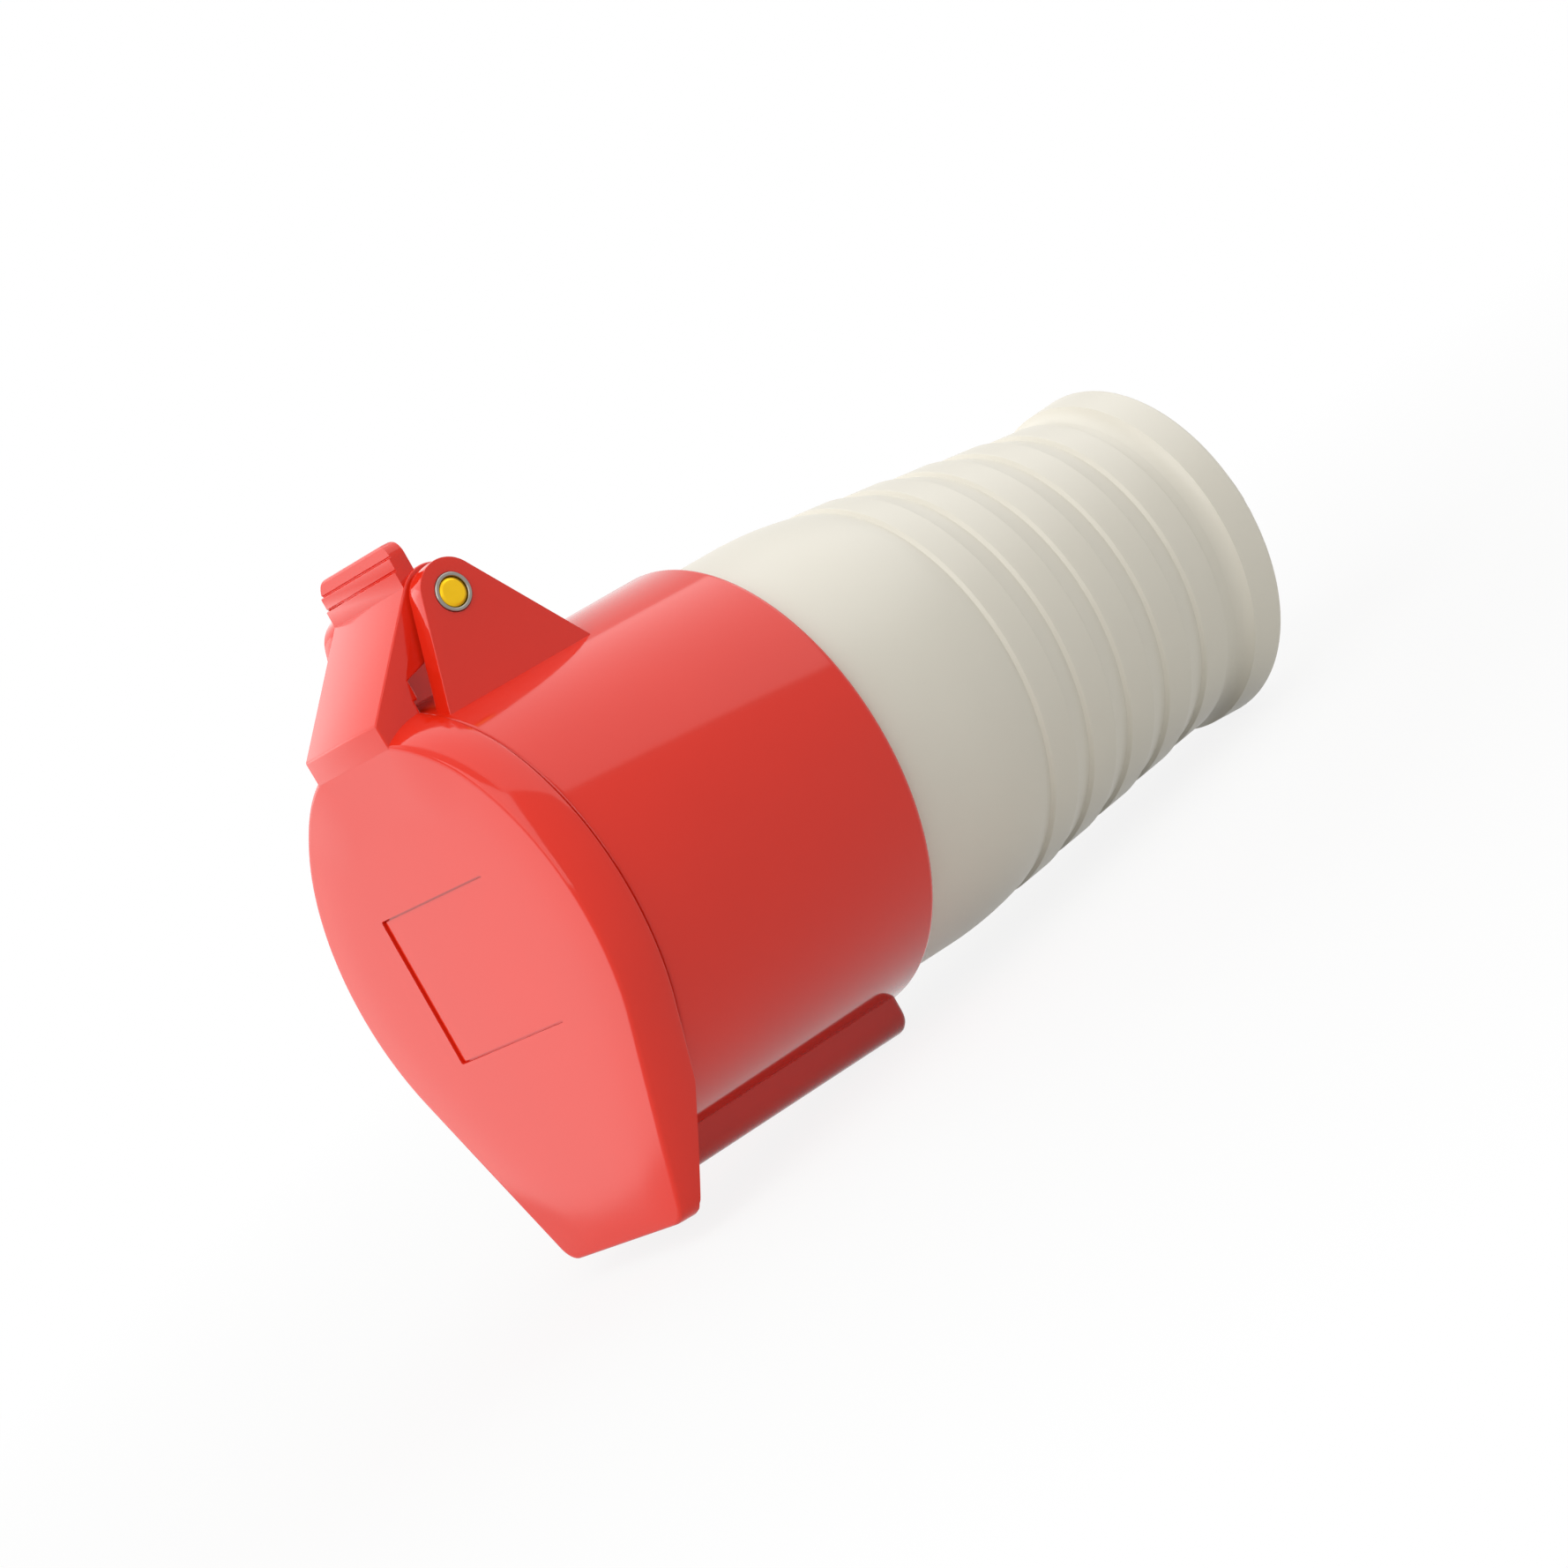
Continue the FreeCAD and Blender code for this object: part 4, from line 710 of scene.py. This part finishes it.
def make_block_room():
    """The space between the cheeks of the hinge block, for the spring and the pin."""
    s = sizes()
    inside = s.block_half_width - s.block_cheek
    front = -s.block_front
    lean = slope_angle()
    floor = -s.lid_floor
    drop = s.block_skin / math.cos(lean)
    under = s.block_fold + (floor - front) * math.tan(lean) - drop
    inner = s.knuckle_radius - s.block_skin
    root = 15 * MM
    past = 7 * MM
    outline = [(floor, root), (floor, under)]
    outline += arc(inner, lean + math.pi / 2, math.pi / 2, 12)
    outline += [(HINGE_SETBACK, HINGE_HEIGHT + past), (HINGE_SETBACK + past, HINGE_HEIGHT + past),
                (HINGE_SETBACK + past, root)]
    return slab("block_room", outline, -inside, inside)


def make_tab():
    s = sizes()
    base = HINGE_HEIGHT + s.knuckle_radius
    front = s.tab_front
    step = s.rib_step
    top = s.tab_top
    back = front + s.tab_thickness + 0.5 * MM
    groove = s.rib_groove
    ease = 0.08 * MM
    corners = [(front, base - 2 * MM)]
    for rib in range(2):
        line = top - (2 - rib) * s.rib_pitch
        here = front + rib * step
        corners += [(here, line - groove, ease), (here + step + groove, line, ease / 2),
                    (here + step, line + groove, ease)]
    corners += [(front + 2 * step + 0.3 * MM, top, 0.5 * MM), (back, top, 0.6 * MM), (back, base - 1.2 * MM)]
    outline = rounded(corners, steps=3)
    tab = slab("tab", outline, -s.tab_half_width, s.tab_half_width, bevel=0.3 * MM, segments=2)
    half = s.tab_half_width
    frame_outline = rounded([
        (-half - MM, base - 3 * MM), (half + MM, base - 3 * MM), (half + MM, base + 0.5 * MM),
        (half, base + 0.6 * MM), (half, top, 2.5 * MM), (-half, top, 2.5 * MM), (-half, base + 0.6 * MM),
        (-half - MM, base + 0.5 * MM),
    ], steps=8)
    window = bar("tab_window", frame_outline, front - 5 * MM, back + 5 * MM)
    return combine(tab, window, "INTERSECT")


def label_block(low, high, inset):
    """A block of the label field's outline, set in all round; its corners are slightly round."""
    s = sizes()
    across, up = s.label_width / 2 - inset, s.label_height / 2 - inset
    middle = -0.5 * MM
    corner = 0.4 * MM
    outline = rounded([(-across, middle - up, corner), (across, middle - up, corner),
                       (across, middle + up, corner), (-across, middle + up, corner)], steps=3)
    return bar("label_field", outline, low, high)


class CPL_OT_lid(bpy.types.Operator):
    """Model the hinged lid: face, tail, bare label field, hinge block, knuckle and thumb tab"""

    bl_idname = "coupler.lid"
    bl_label = "Lid"

    def execute(self, context):
        s = sizes()
        lid = make_lid_body()
        lid.name = "lid_moulding"
        wall = s.lid_wall
        thinner = 0.8 * MM
        deep = -s.lid_floor - MM
        seam = -s.seam_gap
        combine(lid, make_block(), "UNION")
        combine(lid, make_block_room(), "DIFFERENCE")
        backing = lathe("lid_backing", [
            (seam, inner_radius_at(seam)),
            (seam, inner_radius_at(seam) + wall - thinner),
            (deep, inner_radius_at(deep) + wall - thinner),
            (deep, inner_radius_at(deep)),
        ])
        combine(lid, backing, "UNION")
        shelf = -3.5 * MM
        inner = inner_radius_at(shelf) - 2.6 * MM
        outer = inner_radius_at(shelf) + 0.5 * MM
        ledge = lathe("lid_shelf", [(shelf, inner), (shelf, outer), (deep, outer), (deep, inner)])
        combine(lid, ledge, "UNION")
        combine(lid, crosswise("pin_bore", s.pin_radius + 0.08 * MM, 2 * s.block_half_width), "DIFFERENCE")
        front = -s.lid_rim_depth - s.lid_crown
        border = s.label_border
        combine(lid, label_block(front - MM, front + s.label_depth + border, 0), "DIFFERENCE")
        combine(lid, label_block(front + s.label_depth, front + s.label_depth + 2 * border, border), "UNION")
        combine(lid, make_tab(), "UNION")
        lay_in_place(lid, "lid", ["lid"], "red_plastic")
        return {"FINISHED"}


def make_ear(side):
    """One hinge ear: a round-topped lug whose two slopes run tangent into the circle about the pin."""
    s = sizes()
    centre = Vector((HINGE_SETBACK, HINGE_HEIGHT))
    feet = [Vector((s.ear_front, s.ear_foot)), Vector((s.ear_back, s.ear_foot))]
    angles = []
    for foot, sign in zip(feet, (-1, 1)):
        away = foot - centre
        angles.append(math.atan2(away.y, away.x) + sign * math.acos(s.ear_radius / away.length))
    start = angles[0] % (2 * math.pi)
    end = angles[1] % (2 * math.pi)
    outline = [tuple(feet[0])] + arc(s.ear_radius, start, end, 40) + [tuple(feet[1])]
    inner = s.ear_outer - s.ear_thickness
    low, high = (inner, s.ear_outer) if side > 0 else (-s.ear_outer, -inner)
    return slab(f"ear_{side}", outline, low, high, bevel=0.8 * MM, segments=4)


def trough(half, top, foot, corner, steps):
    """An outline with two square corners on top and two round ones below, as (across, up)."""
    return rounded([(-half, top), (half, top), (half, foot, corner), (-half, foot, corner)], steps=steps)


class CPL_OT_collar(bpy.types.Operator):
    """Model the red collar: shroud, key channel, keyway, ledge and the two hinge ears"""

    bl_idname = "coupler.collar"
    bl_label = "Collar"

    def execute(self, context):
        s = sizes()
        collar = lathe("collar_moulding", [
            (0, s.collar_bore, 0.3 * MM),
            (0, s.collar_radius, 0.8 * MM),
            (s.collar_length, s.collar_radius, 1.2 * MM),
            (s.collar_length, s.socket_bore, 0.3 * MM),
            (s.socket_start, s.socket_bore),
            (s.socket_start, s.collar_bore),
            (s.ledge_end, s.collar_bore),
            (s.ledge_end, s.ledge_bore),
            (s.ledge_start, s.ledge_bore),
            (s.ledge_start, s.collar_bore),
        ])
        reach = s.key_reach
        half = s.key_half_width
        top = -s.collar_radius + 2.2 * MM
        outline = trough(half, top, -reach, 3 * MM, 8)
        channel = bar("key_channel", outline, 0.0, s.key_length, bevel=1.4 * MM, segments=4)
        combine(collar, channel, "UNION")
        wall = s.key_wall
        keyway = bar("keyway", trough(half - wall, -20 * MM, -reach + wall, 0.6 * MM, 3), -MM, s.key_depth)
        combine(collar, keyway, "DIFFERENCE")
        for side in (1, -1):
            combine(collar, make_ear(side), "UNION")
        combine(collar, crosswise("bush_hole", s.bush_radius + 0.05 * MM, s.ear_outer + MM), "DIFFERENCE")
        lay_in_place(collar, "coupler_body", ["front_collar"], "red_plastic")
        return {"FINISHED"}


class CPL_OT_handle(bpy.types.Operator):
    """Turn the grey handle with its stepped grip rings, rear rim and gland tube"""

    bl_idname = "coupler.handle"
    bl_label = "Handle"

    def execute(self, context):
        s = sizes()
        front = s.socket_start + 0.2 * MM
        wall = s.handle_wall
        shoulder = 65.0 * MM
        drop = 1.42 * MM
        reach = 13.0 * MM
        bow = (reach ** 2 + drop ** 2) / (2 * drop)
        groove_start, groove_end = 43.1 * MM, 47.3 * MM
        groove_floor = s.handle_radius - 1.65 * MM
        corners = [(front, s.handle_radius - wall), (front, s.handle_radius, 0.3 * MM),
                   (groove_start, s.handle_radius), (groove_start, groove_floor),
                   (groove_end, groove_floor), (groove_end, s.handle_radius)]
        for step in range(SHOULDER_STEPS + 1):
            angle = math.asin(reach / bow) * step / SHOULDER_STEPS
            corners.append((shoulder + bow * math.sin(angle), s.handle_radius - bow * (1 - math.cos(angle))))
        for ring in range(s.ring_count):
            start = s.ring_start + ring * s.ring_pitch
            crest = s.first_ring_radius - ring * s.ring_fall
            crease = start + 0.6 * s.ring_pitch
            corners += [
                (start - 0.1 * MM, crest - s.ring_step, 0.15 * MM),
                (start + 0.5 * MM, crest, 0.35 * MM),
                (crease, crest - 0.4 * s.ring_fall, 0.08 * MM),
                (crease + 0.15 * MM, crest - 0.4 * s.ring_fall - 0.20 * MM, 0.10 * MM),
            ]
        rise = s.rim_radius - s.rim_flare - s.waist_radius
        run = s.cove_run
        cove = (run ** 2 + rise ** 2) / (2 * rise)
        for step in range(COVE_STEPS + 1):
            angle = math.asin(run / cove) * step / COVE_STEPS
            corners.append((s.rim_start - run + cove * math.sin(angle),
                            s.waist_radius + cove * (1 - math.cos(angle))))
        end = s.handle_end
        seat = s.gland_start + 3 * MM
        inner_end = end - wall - 0.5 * MM
        play = 0.3 * MM
        seal_bore = s.gland_radius - 1.8 * MM
        throat = 12.5 * MM
        corners += [
            (end, s.rim_radius, 0.7 * MM),
            (end, s.gland_radius + play, 0.3 * MM),
            (s.nut_start - play, s.gland_radius + play),
            (s.nut_start - play, seal_bore),
            (seat, seal_bore),
            (seat, throat),
            (s.gland_start, throat),
            (s.gland_start, s.gland_radius + wall),
            (inner_end, s.gland_radius + wall),
            (inner_end, s.waist_radius - wall),
            (s.waist_start, s.waist_radius - wall),
            (s.ring_start, s.first_ring_radius - s.ring_step - wall),
            (shoulder, s.handle_radius - wall),
        ]
        handle = lathe("handle_moulding", corners)
        lay_in_place(handle, "coupler_body", ["handle"], "grey_plastic")
        return {"FINISHED"}


class CPL_OT_gland_nut(bpy.types.Operator):
    """Turn the gland nut and cut its grip flutes"""

    bl_idname = "coupler.gland_nut"
    bl_label = "Gland nut"

    def execute(self, context):
        s = sizes()
        knob = s.handle_end + 0.3 * MM
        end = knob + s.nut_length
        nut = lathe("nut_moulding", [
            (s.nut_start, s.cable_radius),
            (s.nut_start, s.gland_radius, 0.5 * MM),
            (knob, s.gland_radius),
            (knob, s.nut_radius, 0.3 * MM),
            (end, s.nut_radius, 1.2 * MM),
            (end, s.cable_radius, 1.4 * MM),
        ])
        centre = s.nut_radius + s.flute_radius / 2
        low, high = knob - 0.1 * MM, end + MM
        for flute in range(s.flutes):
            angle = 2 * math.pi * flute / s.flutes
            place = (centre * math.sin(angle), (low + high) / 2, centre * math.cos(angle))
            tool = cutter("flute", s.flute_radius, high - low, place, (math.pi / 2, 0, 0), FLUTE_STEPS)
            combine(nut, tool, "DIFFERENCE")
        lay_in_place(nut, "nut", ["gland_nut"], "grey_plastic")
        return {"FINISHED"}


class CPL_OT_hinge(bpy.types.Operator):
    """Turn the hinge pin with its softened ends, and the steel eyelets round it"""

    bl_idname = "coupler.hinge"
    bl_label = "Hinge pin and eyelets"

    def execute(self, context):
        s = sizes()
        end = s.ear_outer + 0.25 * MM
        tip = 0.02 * MM
        dome = 0.12 * MM
        pin = lathe_on_pin("pin_turning", [(-end - dome, tip), (-end, s.pin_radius - 0.5 * MM, 0.5 * MM),
                                           (-end + 0.3 * MM, s.pin_radius, 0.1 * MM),
                                           (end - 0.3 * MM, s.pin_radius, 0.1 * MM),
                                           (end, s.pin_radius - 0.5 * MM, 0.5 * MM), (end + dome, tip)])
        lay_in_place(pin, "coupler_body", ["hinge_pin"], "brass")
        for side, node in ((1, "hinge_bush_right"), (-1, "hinge_bush_left")):
            near = side * (s.ear_outer - s.ear_thickness)
            far = side * (s.ear_outer + 0.30 * MM)
            bore = s.pin_radius + 0.08 * MM
            roll = 0.28 * MM
            bush = lathe_on_pin(node.replace("hinge_bush", "eyelet"), [
                (near, bore), (near, s.bush_radius), (far, s.bush_radius, roll), (far, bore, roll)])
            lay_in_place(bush, "coupler_body", [node], "steel")
        return {"FINISHED"}


class CPL_OT_inner_pieces(bpy.types.Operator):
    """Give every CAD piece that stays its own moulded, turned or plated material"""

    bl_idname = "coupler.inner_pieces"
    bl_label = "Inner pieces"

    def execute(self, context):
        slots = {entry["node"]: entry["material_slot"] for entry in frame["record"]["subparts"]}
        for name, node in frame["nodes"].items():
            if node.hide_render:
                continue
            material = material_for(slots[name])
            node.data.materials.clear()
            node.data.materials.append(material)
        return {"FINISHED"}


# Stage

# The camera was solved from the photograph, in the coupler's own frame.
CAMERA_PLACE = Vector((724.8, -421.6, 45.1)) * MM
CAMERA_RIGHT = Vector((0.500, 0.713, -0.491))
CAMERA_BACK = Vector((0.834, -0.549, 0.053))
FOCAL_PIXELS = 6544.1
IMAGE_PIXELS = 1778
SENSOR = 36.0

# The floor is a table-sized sheet, in metres. Past its edge the studio is as white as the sheet's own rim.
FLOOR_SIZE = 0.6

# How far the floor is lifted to white near the object, over what distance the rest of it turns wholly white,
# and the studio's even glow on matt surfaces.
FLOOR_LIFT = 0.87
SHADOW_REACH = (0.10, 0.30)
ROOM_GLOW = 0.30

# Each soft box: its name, its direction from the object, its distance and width in metres, and its watts.
SOFT_BOXES = (
    ("top box", (0.08, 0.52, 0.84), 1.2, 1.6, 9.6),
    ("camera side box", (0.33, -0.66, 0.68), 1.3, 1.4, 12.5),
    ("front box", (-0.77, -0.62, 0.11), 1.4, 1.6, 9.5),
    ("left box", (-0.80, 0.05, 0.60), 1.3, 1.3, 3.4),
)
BOX_AIM = Vector((0, 0, 0.045))


def image_axes():
    """The photograph's right, up and towards-the-camera directions, in the row frame."""
    back = CAMERA_BACK.normalized()
    right = (CAMERA_RIGHT - back * CAMERA_RIGHT.dot(back)).normalized()
    turn = COUPLER.to_3x3()
    return turn @ right, turn @ back.cross(right), turn @ back


def seen_directly(tree):
    """1 for a ray from the camera, off a glossy surface or through a clear one, and 0 for diffuse light."""
    path = add_node(tree, "ShaderNodeLightPath")
    direct = path.outputs["Is Camera Ray"]
    for kind in ("Is Glossy Ray", "Is Transmission Ray"):
        either = add_node(tree, "ShaderNodeMath", {"operation": "MAXIMUM"},
                          {0: direct, 1: path.outputs[kind]})
        direct = either.outputs[0]
    return direct


def floor_material():
    """Pale matt paper: seen directly or mirrored it is lifted to white, and keeps the object's shadow."""
    material = bpy.data.materials.new("pale paper floor")
    material.use_nodes = True
    material.cycles.emission_sampling = "NONE"
    tree = material.node_tree
    tree.nodes.clear()
    paper = add_node(tree, "ShaderNodeBsdfDiffuse", {"Color": (*colours().floor, 1)})
    white = add_node(tree, "ShaderNodeEmission", {"Color": (1, 1, 1, 1), "Strength": 1.0})
    place = add_node(tree, "ShaderNodeTexCoord")
    away = add_node(tree, "ShaderNodeVectorMath", {"operation": "LENGTH"}, {0: place.outputs["Object"]})
    near, far = SHADOW_REACH
    steps = {"From Min": near, "From Max": far, "To Min": FLOOR_LIFT, "To Max": 1.0}
    lift = add_node(tree, "ShaderNodeMapRange", steps, {"Value": away.outputs["Value"]})
    lifted = add_node(tree, "ShaderNodeMixShader", links={
        0: lift.outputs["Result"], 1: paper.outputs[0], 2: white.outputs[0]})
    shown = add_node(tree, "ShaderNodeMixShader", links={
        0: seen_directly(tree), 1: paper.outputs[0], 2: lifted.outputs[0]})
    add_node(tree, "ShaderNodeOutputMaterial", links={"Surface": shown.outputs[0]})
    return material


def studio_world():
    """A studio that is white to the camera and to glossy and clear surfaces, and dimmer to the rest."""
    world = bpy.data.worlds.new("studio")
    world.use_nodes = True
    world.cycles.sampling_method = "NONE"
    tree = world.node_tree
    tree.nodes.clear()
    glow = add_node(tree, "ShaderNodeBackground", {"Color": (1, 1, 1, 1), "Strength": ROOM_GLOW})
    white = add_node(tree, "ShaderNodeBackground", {"Color": (1, 1, 1, 1), "Strength": 1.0})
    shown = add_node(tree, "ShaderNodeMixShader", links={
        0: seen_directly(tree), 1: glow.outputs[0], 2: white.outputs[0]})
    add_node(tree, "ShaderNodeOutputWorld", links={"Surface": shown.outputs[0]})
    return world


def soft_box(name, towards, distance, width, power):
    """A square soft box that lights the object from a direction in the row frame."""
    data = bpy.data.lights.new(name, "AREA")
    data.shape = "SQUARE"
    data.size = width
    data.energy = power
    lamp = bpy.data.objects.new(name, data)
    bpy.context.scene.collection.objects.link(lamp)
    way = Vector(towards).normalized()
    lamp.location = BOX_AIM + way * distance
    lamp.rotation_mode = "QUATERNION"
    lamp.rotation_quaternion = way.to_track_quat("Z", "Y")


class CPL_OT_stage(bpy.types.Operator):
    """Set up the pale floor, the soft boxes and the camera"""

    bl_idname = "coupler.stage"
    bl_label = "Stage"

    def execute(self, context):
        scene = context.scene
        bpy.ops.object.select_all(action="DESELECT")
        bpy.ops.mesh.primitive_plane_add(size=FLOOR_SIZE, location=(0, 0, 0))
        floor = context.object
        floor.name = "floor"
        floor.data.materials.append(floor_material())
        scene.world = studio_world()
        for box in SOFT_BOXES:
            soft_box(*box)

        camera_data = bpy.data.cameras.new("photo camera")
        camera = bpy.data.objects.new("photo camera", camera_data)
        scene.collection.objects.link(camera)
        camera_data.sensor_width = SENSOR
        camera_data.lens = FOCAL_PIXELS / IMAGE_PIXELS * SENSOR
        pose = Matrix(image_axes()).transposed().to_4x4()
        pose.translation = COUPLER @ CAMERA_PLACE
        camera.matrix_world = pose
        camera_data.clip_start = 0.01
        camera_data.clip_end = 50
        scene.camera = camera
        scene.view_settings.view_transform = "Standard"
        return {"FINISHED"}


class CPL_PT_panel(bpy.types.Panel):
    """Lists the steps that build the coupler, and its sizes and colours"""

    bl_idname = "CPL_PT_panel"
    bl_label = "Cable coupler"
    bl_space_type = "VIEW_3D"
    bl_region_type = "UI"
    bl_category = "Coupler"

    def draw(self, context):
        layout = self.layout
        for operator in OPERATORS:
            layout.operator(operator.bl_idname)
        for group in (context.scene.coupler_sizes, context.scene.coupler_colours):
            box = layout.box()
            for key in group.__annotations__:
                box.prop(group, key)


OPERATORS = (CPL_OT_collar, CPL_OT_lid, CPL_OT_handle, CPL_OT_gland_nut, CPL_OT_hinge, CPL_OT_inner_pieces,
             CPL_OT_stage)
CLASSES = (CouplerSizes, CouplerColours, *OPERATORS, CPL_PT_panel)


def register():
    for each in CLASSES:
        bpy.utils.register_class(each)
    bpy.types.Scene.coupler_sizes = bpy.props.PointerProperty(type=CouplerSizes)
    bpy.types.Scene.coupler_colours = bpy.props.PointerProperty(type=CouplerColours)


def unregister():
    del bpy.types.Scene.coupler_sizes
    del bpy.types.Scene.coupler_colours
    for each in reversed(CLASSES):
        bpy.utils.unregister_class(each)


def main():
    register()
    bpy.ops.coupler.collar()
    bpy.ops.coupler.lid()
    bpy.ops.coupler.handle()
    bpy.ops.coupler.gland_nut()
    bpy.ops.coupler.hinge()
    bpy.ops.coupler.inner_pieces()
    bpy.ops.coupler.stage()


if __name__ == "__main__":
    main()
